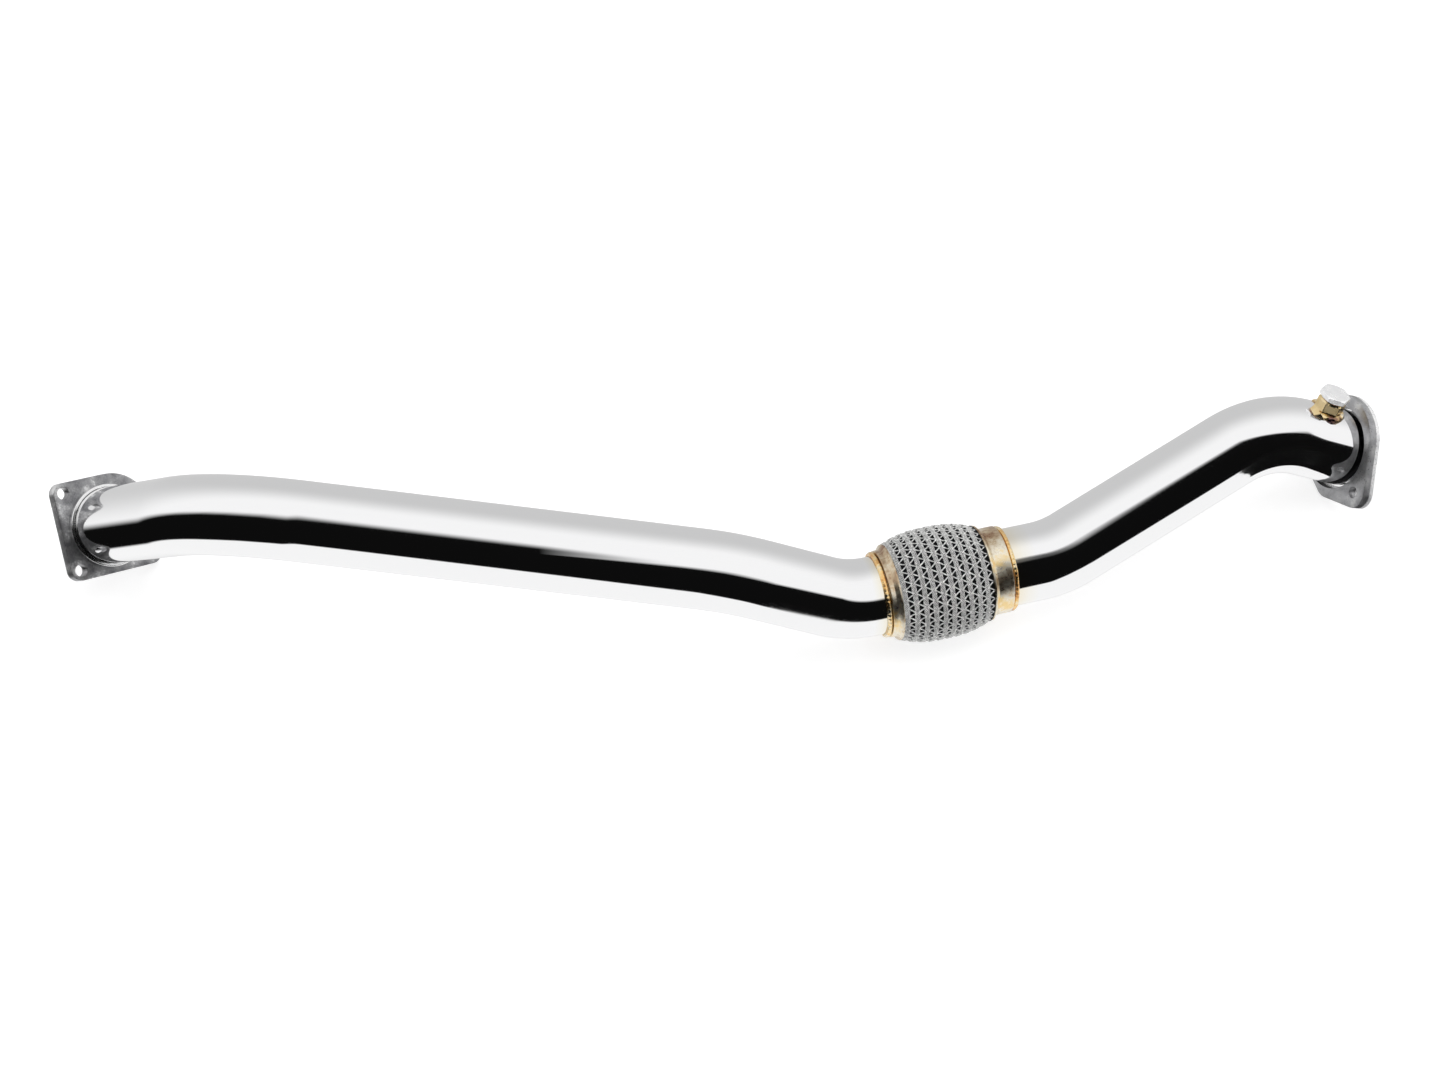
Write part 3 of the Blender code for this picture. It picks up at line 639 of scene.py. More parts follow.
def waved(middle, phase):
    """A wire that runs round the barrel, swinging along it and rising and dipping."""
    path = []
    for k in range(BAND_STEPS + 1):
        t = k / BAND_STEPS
        x = (t - 0.5) * CELL.x
        y = middle * CELL.y + BAND_SWING * CELL.y * math.sin(math.tau * (BAND_WAVES * t + phase))
        z = BAND_LIFT * math.cos(math.tau * (BAND_WAVES * t + phase))
        path.append(Vector((x, y, z)))
    return path


band_paths = [waved(middle, 0.5 * (number % 2)) for number, middle in enumerate(BAND_MIDDLES)]
print("band wires", len(band_paths))

# %% The zigzag that bridges the gap
BRIDGES = ((0.000, 0.0001), (0.035, -0.0002), (-0.035, -0.0001))
BRIDGE_MIDDLE = 0.25
BRIDGE_SWING = 0.33
BRIDGE_LIFT = 0.0003
BRIDGE_SHARPNESS = 0.96
BRIDGE_STEPS = 20


def bridge(shift, lift):
    """A zigzag wire with round turns that ties one band to the next."""
    path = []
    for k in range(BRIDGE_STEPS + 1):
        t = k / BRIDGE_STEPS
        wave = BRIDGE_SHARPNESS * math.cos(math.tau * (t + shift))
        swing = math.asin(wave) / math.asin(BRIDGE_SHARPNESS)
        x = (t - 0.5) * CELL.x
        y = (BRIDGE_MIDDLE + BRIDGE_SWING * swing) * CELL.y
        path.append(Vector((x, y, lift + BRIDGE_LIFT * math.cos(math.tau * 2 * t))))
    return path


bridge_paths = [bridge(shift, lift) for shift, lift in BRIDGES]
print("bridge wires", len(bridge_paths))

# %% Store the two cells out of sight
cell_store = bpy.data.collections.new("cell_store")
bpy.context.scene.collection.children.link(cell_store)
cell_store.hide_render = True


def cell_object(name, paths):
    shape = bmesh.new()
    for path in paths:
        wire_path(shape, path)
    mesh = bpy.data.meshes.new(name)
    bmesh.ops.recalc_face_normals(shape, faces=shape.faces)
    shape.to_mesh(mesh)
    shape.free()
    mesh.shade_smooth()
    cell = bpy.data.objects.new(name, mesh)
    cell_store.objects.link(cell)
    print(name, len(mesh.polygons), "faces")
    return cell


band_cell = cell_object("band_cell", band_paths)
bridge_cell = cell_object("bridge_cell", bridge_paths)

# %% [markdown]
# ### The node tree that knits
#
# Copying the cells in a Python loop would work, but a node tree shows its sizes as named
# inputs and is quick to change. Its points start as a plain list. Each point's index gives
# its row and its place in the row, and from those come the barrel's radius, by the same
# fall-off as the CAD profile, and the way that the cell faces.


# %% Helpers that feed sockets and make math nodes
def connect(tree, value, socket):
    """Feed a socket from another one, or give it a number."""
    if isinstance(value, (int, float)):
        socket.default_value = value
    else:
        tree.links.new(value, socket)


def math_node(tree, operation, *values):
    node = tree.nodes.new("ShaderNodeMath")
    node.operation = operation
    for value, socket in zip(values, node.inputs):
        connect(tree, value, socket)
    return node.outputs[0]


print("cells to set in each row", CELLS_AROUND, "and rows", KNIT_RINGS)

# %% The tree's named inputs
BARE_END = 0.0011
KNIT_INSET = 0.0012
KNIT_UNEVENNESS = 0.06
BAND_SEED = 7
BRIDGE_SEED = 11

knit = bpy.data.node_groups.new("knit", "GeometryNodeTree")
knit.interface.new_socket("Geometry", in_out="OUTPUT", socket_type="NodeSocketGeometry")
knit.interface.new_socket("Cell", in_out="INPUT", socket_type="NodeSocketObject")
for name, kind, value in (
    ("Rows", "NodeSocketInt", KNIT_RINGS),
    ("Around", "NodeSocketInt", CELLS_AROUND),
    ("Length", "NodeSocketFloat", BRAID_LENGTH),
    ("Middle radius", "NodeSocketFloat", BARREL_MIDDLE),
    ("End radius", "NodeSocketFloat", BARREL_END),
    ("Fullness", "NodeSocketFloat", BARREL_FULLNESS),
    ("Inset", "NodeSocketFloat", KNIT_INSET),
    ("Bare end", "NodeSocketFloat", BARE_END),
    ("Unevenness", "NodeSocketFloat", KNIT_UNEVENNESS),
    ("Seed", "NodeSocketInt", BAND_SEED),
):
    knit.interface.new_socket(name, in_out="INPUT", socket_type=kind).default_value = value
sockets = {item.name: item.identifier for item in knit.interface.items_tree if item.in_out == "INPUT"}
given = knit.nodes.new("NodeGroupInput").outputs


def calc(operation, *values):
    return math_node(knit, operation, *values)


def vector(*parts):
    node = knit.nodes.new("ShaderNodeCombineXYZ")
    for value, socket in zip(parts, node.inputs):
        connect(knit, value, socket)
    return node.outputs[0]


print("inputs", list(sockets))

# %% Row, turn and radius of each point
cloud = knit.nodes.new("GeometryNodePoints")
connect(knit, calc("MULTIPLY", given["Rows"], given["Around"]), cloud.inputs["Count"])
index = knit.nodes.new("GeometryNodeInputIndex").outputs[0]
row = calc("FLOOR", calc("DIVIDE", index, given["Around"]))
column = calc("MODULO", index, given["Around"])
stagger = calc("MULTIPLY", calc("MODULO", row, 2.0), 0.5)
turn = calc("MULTIPLY", calc("DIVIDE", calc("ADD", column, stagger), given["Around"]), math.tau)
cosine = calc("COSINE", turn)
sine = calc("SINE", turn)
share = calc("DIVIDE", calc("ADD", row, 0.5), given["Rows"])
signed = calc("SUBTRACT", calc("MULTIPLY", share, 2.0), 1.0)
centred = calc("ABSOLUTE", signed)
drop = calc("SUBTRACT", given["Middle radius"], given["End radius"])
fall = calc("MULTIPLY", drop, calc("POWER", centred, given["Fullness"]))
radius = calc("SUBTRACT", calc("SUBTRACT", given["Middle radius"], fall), given["Inset"])
height = calc("MULTIPLY", share, calc("SUBTRACT", given["Length"], given["Bare end"]))
move = knit.nodes.new("GeometryNodeSetPosition")
connect(knit, cloud.outputs[0], move.inputs["Geometry"])
spot = vector(calc("MULTIPLY", radius, cosine), calc("MULTIPLY", radius, sine), height)
connect(knit, spot, move.inputs["Position"])
print("nodes that place the points", len(knit.nodes))

# %% Turn each cell to face outward
# The lean is the slope of the barrel's side: how fast the radius falls along its length.
slope = calc("POWER", centred, calc("SUBTRACT", given["Fullness"], 1.0))
steep = calc("DIVIDE", calc("MULTIPLY", calc("MULTIPLY", drop, given["Fullness"]), 2.0), given["Length"])
lean = calc("MULTIPLY", calc("MULTIPLY", slope, calc("SIGN", signed)), steep)
outward = knit.nodes.new("FunctionNodeAlignRotationToVector")
outward.axis = "Z"
connect(knit, vector(cosine, sine, lean), outward.inputs["Vector"])
round_about = knit.nodes.new("FunctionNodeAlignRotationToVector")
round_about.axis = "X"
round_about.pivot_axis = "Z"
connect(knit, outward.outputs[0], round_about.inputs["Rotation"])
connect(knit, vector(calc("MULTIPLY", sine, -1.0), cosine, 0.0), round_about.inputs["Vector"])
print("nodes with the turns", len(knit.nodes))

# %% Stretch the cells, set them and end the tree
CELL_OVERLAP = 1.02

uneven = knit.nodes.new("FunctionNodeRandomValue")
uneven.data_type = "FLOAT"
connect(knit, calc("SUBTRACT", 1.0, given["Unevenness"]), uneven.inputs[2])
connect(knit, calc("ADD", 1.0, given["Unevenness"]), uneven.inputs[3])
connect(knit, given["Seed"], uneven.inputs["Seed"])
squeeze = calc("MULTIPLY", calc("DIVIDE", radius, given["Middle radius"]), CELL_OVERLAP)
stretch = calc("SQRT", calc("ADD", calc("MULTIPLY", lean, lean), 1.0))
source = knit.nodes.new("GeometryNodeObjectInfo")
connect(knit, given["Cell"], source.inputs["Object"])
spread = knit.nodes.new("GeometryNodeInstanceOnPoints")
connect(knit, move.outputs[0], spread.inputs["Points"])
connect(knit, source.outputs["Geometry"], spread.inputs["Instance"])
connect(knit, round_about.outputs[0], spread.inputs["Rotation"])
cell_scale = vector(squeeze, calc("MULTIPLY", stretch, uneven.outputs[1]), 1.0)
connect(knit, cell_scale, spread.inputs["Scale"])
real = knit.nodes.new("GeometryNodeRealizeInstances")
connect(knit, spread.outputs[0], real.inputs[0])
paint = knit.nodes.new("GeometryNodeSetMaterial")
paint.inputs["Material"].default_value = bpy.data.materials.new("wire")
connect(knit, real.outputs[0], paint.inputs["Geometry"])
connect(knit, paint.outputs[0], knit.nodes.new("NodeGroupOutput").inputs[0])
print("nodes in all", len(knit.nodes))


# %% Knit the bands and the bridges
def knitted(name, cell, seed):
    """Run the tree on one cell and keep the wires as a mesh."""
    holder = bpy.data.objects.new(name, bpy.data.meshes.new(name))
    bpy.context.scene.collection.objects.link(holder)
    run = holder.modifiers.new("knit", "NODES")
    run.node_group = knit
    run[sockets["Cell"]] = cell
    run[sockets["Seed"]] = seed
    bpy.context.view_layer.update()
    graph = bpy.context.evaluated_depsgraph_get()
    mesh = bpy.data.meshes.new_from_object(holder.evaluated_get(graph))
    bpy.data.objects.remove(holder, do_unlink=True)
    mesh.transform(lie @ flex_low.matrix())
    mesh.shade_smooth()
    piece = bpy.data.objects.new(name, mesh)
    bpy.context.scene.collection.objects.link(piece)
    print(name, "triangles", sum(len(face.vertices) - 2 for face in mesh.polygons))
    return piece


bands = knitted("knitted_bands", band_cell, BAND_SEED)
bridges = knitted("knitted_bridges", bridge_cell, BRIDGE_SEED)
for cell in (band_cell, bridge_cell):
    bpy.data.objects.remove(cell, do_unlink=True)
bpy.data.collections.remove(cell_store)
for piece in (bands, bridges):
    stand_for(piece, "flex_braid")

# %% [markdown]
# ## The core of painted shade
#
# Under the real wires lies a bellows in deep shadow, so the gaps between the wires look
# black. The CAD bellows, in plain steel, would shine through them. So a turned core,
# near black as painted shade, follows the barrel just under the wires. It comes out to a
# thin black edge of painted shade at the short pipe's end, where the wires stop a little early.

# %% The core under the wires
CORE_STEPS = 40
CORE_DEPTH = 0.0024
CORE_EDGE_DEPTH = 0.0002
CORE_END_GAP = 0.0006
CORE_WALL = 0.0040
CORE_SIDES = 96


def barrel_radius(share):
    fall = abs(2 * share - 1) ** BARREL_FULLNESS
    return BARREL_MIDDLE - (BARREL_MIDDLE - BARREL_END) * fall


core_profile = []
for k in range(CORE_STEPS + 1):
    share = k / CORE_STEPS
    depth = CORE_EDGE_DEPTH if share > 1 - BARE_END / BRAID_LENGTH else CORE_DEPTH
    height = CORE_END_GAP + (BRAID_LENGTH - 2 * CORE_END_GAP) * share
    core_profile.append((barrel_radius(share) - depth, height))
core_inner = [(barrel_radius(0) - CORE_WALL, height) for _, height in reversed(core_profile)]
core = turned("barrel_core", core_profile + core_inner, flex_low.matrix(), CORE_SIDES)
stand_for(core, "flex_braid")

# %% [markdown]
# ## The sensor boss and its plug
#
# A gold boss for the oxygen sensor is welded to the short tube, and a bright hexagon plug
# closes it. A hexagon prism with a bevel would be close, but a lathe rounds a hexagon's
# corners in a cone, so its chamfer is deep at the corners and fades out on the flats. The
# helper gets that by taking the smallest radius at each angle: the hexagon's, or that of
# the cone at its crown or its foot.


# %% A hexagon with turned chamfers
HEXAGON_SIDES = 96
HEXAGON_STEPS = 14
CHAMFER_SLOPE = 2.2
HEXAGON_SMOOTH_ANGLE = 24.0
NO_CHAMFER = 2.0


def corner_radius(flats):
    return flats / math.sqrt(3)


def hexagon(name, flats, low, high, place, turn, crown, foot):
    """A hexagon whose cones start at a share of its half width, at its crown and its foot."""
    shape = bmesh.new()
    rings = []
    for step in range(HEXAGON_STEPS + 1):
        height = low + (high - low) * step / HEXAGON_STEPS
        ring = []
        for k in range(HEXAGON_SIDES):
            angle = math.tau * k / HEXAGON_SIDES
            from_corner = (angle - math.radians(turn)) % (math.pi / 3)
            flat = flats / 2 / math.cos(from_corner - math.pi / 6)
            limit_top = flats / 2 * crown + (high - height) * CHAMFER_SLOPE
            limit_foot = flats / 2 * foot + (height - low) * CHAMFER_SLOPE
            radius = min(flat, limit_top, limit_foot, corner_radius(flats))
            ring.append(shape.verts.new((radius * math.cos(angle), radius * math.sin(angle), height)))
        rings.append(ring)
    for ring, following in zip(rings, rings[1:]):
        join_rings(shape, ring, following)
    shape.faces.new(list(reversed(rings[0])))
    shape.faces.new(rings[-1])
    return new_piece(name, shape, place, HEXAGON_SMOOTH_ANGLE)


print("a hexagon has", HEXAGON_SIDES, "points round and", HEXAGON_STEPS + 1, "rings")


# %% The boss and its bead
BUNG_FROM_FLANGE = 0.0262
BUNG_TURN = 202.2
BUNG_LEAN = 9.8
BUNG_FLATS = 0.0210
BUNG_HEIGHT = 0.0119
BUNG_HEXAGON_TURN = 35.7
BUNG_CROWN = 0.97
BUNG_SUNK = 0.86
BUNG_BEAD_INSIDE = 0.001
BUNG_BEAD_HEIGHT = 0.0040
BUNG_BEAD_WIDTH = 0.0062
BUNG_BEAD_SUNK = 0.0042
BUNG_PUDDLES = 22

bung_station = turbo_face.ahead(-BUNG_FROM_FLANGE).turned(BUNG_TURN)
bung_place = bung_station.matrix() @ Matrix.Rotation(math.radians(90 + BUNG_LEAN), 4, "Y")
bung_foot = PIPE_RADIUS * BUNG_SUNK
bung_top = PIPE_RADIUS + BUNG_HEIGHT
bung = hexagon(
    "sensor_boss",
    BUNG_FLATS,
    bung_foot,
    bung_top,
    bung_place,
    BUNG_HEXAGON_TURN,
    BUNG_CROWN,
    NO_CHAMFER,
)
stand_for(bung, "sensor_bung")
bung_weld = ring_bead(
    "boss_bead",
    corner_radius(BUNG_FLATS) - BUNG_BEAD_INSIDE,
    BUNG_BEAD_HEIGHT,
    BUNG_BEAD_WIDTH,
    bung_place @ Matrix.Translation((0, 0, PIPE_RADIUS - BUNG_BEAD_SUNK)),
    BUNG_PUDDLES,
    seed=0.7,
)
stand_for(bung_weld, "bung_weld")

# %% The washer and the plug
BUNG_THREAD = 0.0082
GASKET_THICKNESS = 0.0010
GASKET_WIDTH = 0.0020
GASKET_SIDES = 64
PLUG_FLATS = 0.0230
PLUG_HEXAGON_TURN = 37.0
PLUG_HEIGHT = 0.0046
PLUG_CROWN = 0.96
PLUG_FOOT = 1.0

gasket_outer = BUNG_THREAD + GASKET_WIDTH
gasket_profile = [(BUNG_THREAD, 0.0), (gasket_outer, 0.0)]
gasket_profile += [(gasket_outer, GASKET_THICKNESS), (BUNG_THREAD, GASKET_THICKNESS)]
gasket_place = bung_place @ Matrix.Translation((0, 0, bung_top + SEAT_GAP))
gasket = turned("plug_washer", gasket_profile, gasket_place, GASKET_SIDES)
stand_for(gasket, "plug_gasket")
plug_seat = bung_top + GASKET_THICKNESS + 2 * SEAT_GAP
plug_top = plug_seat + PLUG_HEIGHT
plug = hexagon(
    "plug_head", PLUG_FLATS, plug_seat, plug_top, bung_place, PLUG_HEXAGON_TURN, PLUG_CROWN, PLUG_FOOT
)
stand_for(plug, "bung_plug")

# %% [markdown]
# ## Materials
#
# Every metal is one Principled shader with its own grain, so no surface is a flat colour.
# The helpers keep the node building short: most make one node and return its output.


# %% Helpers for shader nodes
def material(name):
    look = bpy.data.materials.get(name) or bpy.data.materials.new(name)
    look.use_nodes = True
    tree = look.node_tree
    return look, tree, tree.nodes["Principled BSDF"].inputs


def object_place(tree):
    return tree.nodes.new("ShaderNodeTexCoord").outputs["Object"]


def noise(tree, place, scale, detail):
    grain = tree.nodes.new("ShaderNodeTexNoise")
    grain.inputs["Scale"].default_value = scale
    grain.inputs["Detail"].default_value = detail
    tree.links.new(place, grain.inputs["Vector"])
    return grain.outputs["Fac"]


def ramp(tree, value, stops):
    node = tree.nodes.new("ShaderNodeValToRGB")
    elements = node.color_ramp.elements
    while len(elements) < len(stops):
        elements.new(0.5)
    for element, (place, colour) in zip(elements, stops):
        element.position = place
        element.color = (*colour, 1.0)
    tree.links.new(value, node.inputs["Fac"])
    return node.outputs["Color"]


def between(tree, value, low, high, to_low=0.0, to_high=1.0, soft=False):
    """Map a range to another one, straight or with soft ends."""
    node = tree.nodes.new("ShaderNodeMapRange")
    node.interpolation_type = "SMOOTHSTEP" if soft else "LINEAR"
    node.inputs["From Min"].default_value = low
    node.inputs["From Max"].default_value = high
    node.inputs["To Min"].default_value = to_low
    node.inputs["To Max"].default_value = to_high
    tree.links.new(value, node.inputs["Value"])
    return node.outputs["Result"]


print("materials so far", len(bpy.data.materials))

# %% [markdown]
# ### Polished tube
#
# The tubes are polished to a mirror, and by the joint's welds the heat has left a straw
# tint. The tint could be a gradient on the object's box, but the tube bends away from any
# box. So it reads the distance along the tube that the sweep stored.

# %% Mirror polish with a heat tint
NEAR_WELD = (0.80, 0.60, 0.34)
STRAW = (0.90, 0.80, 0.58)
PALE_STRAW = (0.92, 0.90, 0.84)
BARE_STEEL = (0.925, 0.925, 0.93)
TINT_STOPS = ((0.0, NEAR_WELD), (0.35, STRAW), (0.75, PALE_STRAW), (1.0, BARE_STEEL))
POLISH_SCALE = 420.0
POLISH_ROUGHNESS = (0.035, 0.075)
GRAIN_DETAIL = 4.0
GRAIN_LOW = 0.3
GRAIN_HIGH = 0.7


def polished_steel(name, near_attribute, reach):
    """Mirror polish, with a pale straw tint that fades away from the weld."""
    look, tree, inputs = material(name)
    inputs["Metallic"].default_value = 1.0
    fine = noise(tree, object_place(tree), POLISH_SCALE, GRAIN_DETAIL)
    tree.links.new(between(tree, fine, GRAIN_LOW, GRAIN_HIGH, *POLISH_ROUGHNESS), inputs["Roughness"])
    distance = tree.nodes.new("ShaderNodeAttribute")
    distance.attribute_name = near_attribute
    away = between(tree, distance.outputs["Fac"], 0.0, reach)
    tree.links.new(ramp(tree, away, TINT_STOPS), inputs["Base Color"])
    return look


outlet_pipe.data.materials.append(polished_steel("polished_long_pipe", "from_end", 0.022))
turbo_pipe.data.materials.append(polished_steel("polished_short_pipe", "along", 0.040))
print("polished", outlet_pipe.name, turbo_pipe.name)

# %% [markdown]
# ### Patched and even metal
#
# Heat and grinding leave metal in drifting patches, while turned and plated parts have
# an even colour with a fine grain. Two recipes cover both. The patched one mixes a slow
# drift with a fine grain and reads the sum from a colour ramp.


# %% The two recipes
EVEN_DETAIL = 5.0
DRIFT_DETAIL = 2.0
GRAIN_SHARE = 0.35
GRAIN_FINENESS = 9
BUMP_STRENGTH = 0.6


def even_metal(name, dark, light, roughness, scale, metal=1.0):
    look, tree, inputs = material(name)
    inputs["Metallic"].default_value = metal
    grain = noise(tree, object_place(tree), scale, EVEN_DETAIL)
    tree.links.new(ramp(tree, grain, ((GRAIN_LOW, dark), (GRAIN_HIGH, light))), inputs["Base Color"])
    tree.links.new(between(tree, grain, GRAIN_LOW, GRAIN_HIGH, *roughness), inputs["Roughness"])
    return look


def patched_metal(name, colours, roughness, scale, bump=0.0, metal=1.0):
    look, tree, inputs = material(name)
    inputs["Metallic"].default_value = metal
    place = object_place(tree)
    drift = noise(tree, place, scale, DRIFT_DETAIL)
    grain = noise(tree, place, scale * GRAIN_FINENESS, GRAIN_DETAIL)
    centred = between(tree, drift, 0.0, 1.0, -GRAIN_SHARE / 2, 1 - GRAIN_SHARE / 2)
    mixed = math_node(tree, "MULTIPLY_ADD", grain, GRAIN_SHARE, centred)
    step = (GRAIN_HIGH - GRAIN_LOW) / (len(colours) - 1)
    stops = [(GRAIN_LOW + step * k, colour) for k, colour in enumerate(colours)]
    tree.links.new(ramp(tree, mixed, stops), inputs["Base Color"])
    tree.links.new(between(tree, grain, GRAIN_LOW, GRAIN_HIGH, *roughness), inputs["Roughness"])
    if bump:
        node = tree.nodes.new("ShaderNodeBump")
        node.inputs["Strength"].default_value = BUMP_STRENGTH
        node.inputs["Distance"].default_value = bump
        tree.links.new(grain, node.inputs["Height"])
        tree.links.new(node.outputs["Normal"], inputs["Normal"])
    return look


def steel_greys(*shades):
    """Greys from dark to light, all but the lightest with a trace of blue."""
    bluish = [(shade, shade, shade + 0.01) for shade in shades[:-1]]
    return [*bluish, (shades[-1],) * 3]


print("a range of greys", steel_greys(0.20, 0.80))

# %% [markdown]
# ### The plates
#
# The square plate is ground by hand and patchy. The eared plate is brushed on its face
# and brighter on its cut edge, so its two layers have two finishes. Its recess wall is
# painted near black as shade: the faces there are picked by their distance from its middle.

# %% Finish the plates and the ring
RECESS_MARGIN = 0.0002

ground_greys = steel_greys(0.20, 0.30, 0.42, 0.80)
ground_look = patched_metal("ground_steel", ground_greys, (0.30, 0.46), 75.0, bump=0.0004, metal=0.9)
outlet_plate.data.materials.append(ground_look)
brushed_greys = steel_greys(0.30, 0.38, 0.44, 0.58)
brushed_look = patched_metal("brushed_steel", brushed_greys, (0.26, 0.40), 90.0, bump=0.0003, metal=0.85)
front_half.data.materials.append(brushed_look)
bright_greys = ((0.62, 0.62, 0.63), (0.76, 0.76, 0.77), (0.88, 0.88, 0.88), (0.98, 0.98, 0.98))
edge_look = patched_metal("bright_edge", bright_greys, (0.24, 0.38), 90.0, bump=0.0002, metal=0.5)
back_half.data.materials.append(edge_look)
# Near black: painted shade on the recess wall, where the gap round the pipe lies in shadow.
painted_shade_recess_look = even_metal("painted_shade_recess", (0.015, 0.015, 0.016), (0.040, 0.040, 0.042), (0.4, 0.6), 200.0)
front_half.data.materials.append(painted_shade_recess_look)
to_plate = (lie @ turbo_place).inverted()
for face in front_half.data.polygons:
    spot = to_plate @ face.center
    if math.hypot(spot.x, spot.y + RECESS_DROP) < RECESS_RADIUS + RECESS_MARGIN:
        face.material_index = 1
print("dark faces", sum(face.material_index for face in front_half.data.polygons))
ring_look = even_metal("bright_ring", (0.84, 0.84, 0.84), (0.92, 0.92, 0.92), (0.12, 0.22), 300.0)
outlet_collar.data.materials.append(ring_look)

# %% [markdown]
# ### Heat tint on the joint
#
# Steel that has been hot turns straw, gold, brown and purple, in that order. The collars
# are tan to cream, the beads gold to orange, and the bead of the boss, which was hottest,
# goes down to purple.

# %% Tint the collars, the beads and the boss
BROWN = (0.34, 0.20, 0.12)
TAN = (0.62, 0.49, 0.33)
GOLD = (0.95, 0.72, 0.36)
ORANGE = (0.86, 0.48, 0.17)
CREAM = (0.90, 0.84, 0.70)
PURPLE = (0.24, 0.12, 0.14)

tint_look = patched_metal("tan_collar", (BROWN, TAN, CREAM, GOLD), (0.24, 0.36), 34.0)
for cap in (cap_outlet, cap_turbo):
    cap.data.materials.append(tint_look)
weld_look = patched_metal("straw_bead", (BROWN, ORANGE, GOLD, CREAM), (0.14, 0.28), 70.0, bump=0.0004)
for bead in (weld_outlet, weld_turbo):
    bead.data.materials.append(weld_look)
boss_bead_look = patched_metal("purple_bead", (PURPLE, BROWN, GOLD, CREAM), (0.16, 0.30), 90.0, bump=0.0004)
bung_weld.data.materials.append(boss_bead_look)
boss_look = even_metal("gold_boss", (0.78, 0.58, 0.28), (0.92, 0.76, 0.46), (0.18, 0.30), 120.0)
bung.data.materials.append(boss_look)
print("tinted", tint_look.name, weld_look.name, boss_bead_look.name, boss_look.name)

# %% [markdown]
# ### Plug, wires and hidden steel
#
# The plug is plated and the washer is copper. The wires are thin and bright: a shader
# that is only partly metallic keeps them light among their own dark reflections. The
# pieces that keep their CAD meshes, inside the joint and the plates, get plain steel; the
# eared plate's weld gets near-black weld oxide with painted shade on top.

# %% Finish the small and the hidden pieces
plug_look = even_metal("plated_plug", (0.86, 0.86, 0.87), (0.97, 0.97, 0.97), (0.18, 0.30), 200.0, metal=0.6)
plug.data.materials.append(plug_look)
washer_look = even_metal("copper_washer", (0.60, 0.36, 0.24), (0.76, 0.48, 0.32), (0.24, 0.36), 200.0)
gasket.data.materials.append(washer_look)
wire_look = even_metal("wire", (0.36, 0.36, 0.355), (1.0, 1.0, 0.985), (0.16, 0.30), 700.0, metal=0.2)
# Near black: painted shade between the wires, standing in for the shadowed bellows.
painted_shade_core_look = even_metal("painted_shade_core", (0.010, 0.010, 0.011), (0.030, 0.030, 0.032), (0.5, 0.7), 200.0)
core.data.materials.append(painted_shade_core_look)
plain_look = even_metal("plain_inner", (0.38, 0.38, 0.39), (0.50, 0.50, 0.51), (0.35, 0.5), 200.0)
# Near black: weld oxide, darkened further as painted shade for the black arc in the eared plate's recess.
oxide_and_shade_look = even_metal("oxide_and_painted_shade", (0.030, 0.030, 0.032), (0.075, 0.072, 0.070), (0.35, 0.55), 300.0)
for node_name, look in (
    ("outlet_flange_weld", plain_look),
    ("turbo_flange_weld", oxide_and_shade_look),
    ("flex_bellows", plain_look),
    ("flex_liner", plain_look),
):
    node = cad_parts[node_name]
    node.data.materials.clear()
    node.data.materials.append(look)
print("wire slots", [slot.name for slot in bands.data.materials if slot], "for", wire_look.name)

# %% [markdown]
# ## Surroundings
#
# A mirror shows what stands round it. Here that is a white tent with a wide dark panel in
# front, which the tube draws as one black stripe along its whole length. A real panel of
# mesh would need a hard outline far away. Instead the panel is a zone of the world's
# sphere with soft borders. Two curves give its foot and its top, as an angle above the
# floor for each compass direction, where 0 is straight to the front and 90 is to the left.
# Their points began as a fit to the stripe's edges in the photograph, made by a program
# outside this script, and were then rounded to whole degrees, thinned and partly changed.

# %% The panel's outline and the tent's shades
PANEL_FOOT = (
    (-180, 30), (-110, 32), (-84, 32), (-72, 18), (-66, 0), (-60, -8), (-54, -12), (-48, -9),
    (-42, -10), (-36, -14), (-30, -20), (-24, -27), (-18, -36), (-12, -30), (0, -22), (6, -17),
    (12, -14), (18, -20), (24, -21), (36, -24), (60, -34), (84, -46), (102, -54), (114, -57),
    (126, -50), (180, -40),
)
PANEL_TOP = (
    (-180, -30), (-110, 5), (-84, 9), (-72, 22), (-66, 49), (-60, 60), (-54, 63), (-48, 59),
    (-42, 58), (-36, 57), (-30, 56), (-24, 53), (-18, 52), (-12, 56), (0, 59), (12, 54),
    (24, 53), (36, 51), (48, 46), (60, 39), (72, 28), (84, 11), (96, -11), (102, -22),
    (114, -42), (125, -80), (180, -80),
)
FOOT_SOFT = 1.5
TOP_SOFT = (-6.0, 13.0)
GREY_BACK = (0.15, 0.90)
TENT_WHITE = 0.98
TENT_GREY = 0.62
PANEL_BLACK = 0.004

world = bpy.data.worlds.new("tent")
bpy.context.scene.world = world
world.use_nodes = True
sky = world.node_tree
sky.nodes.clear()
print("panel points", len(PANEL_FOOT), len(PANEL_TOP))


# %% Compass direction and height of a ray
def sky_math(operation, *values):
    return math_node(sky, operation, *values)


def degrees_of(value):
    return sky_math("MULTIPLY", value, 180 / math.pi)


where = sky.nodes.new("ShaderNodeTexCoord")
split = sky.nodes.new("ShaderNodeSeparateXYZ")
sky.links.new(where.outputs["Generated"], split.inputs[0])
ray_x, ray_y, ray_z = split.outputs
to_front = sky_math("MULTIPLY", ray_y, -1.0)
to_left = sky_math("MULTIPLY", ray_x, -1.0)
compass = degrees_of(sky_math("ARCTAN2", to_left, to_front))
above_floor = degrees_of(sky_math("ARCSINE", ray_z))
print("direction nodes", len(sky.nodes))


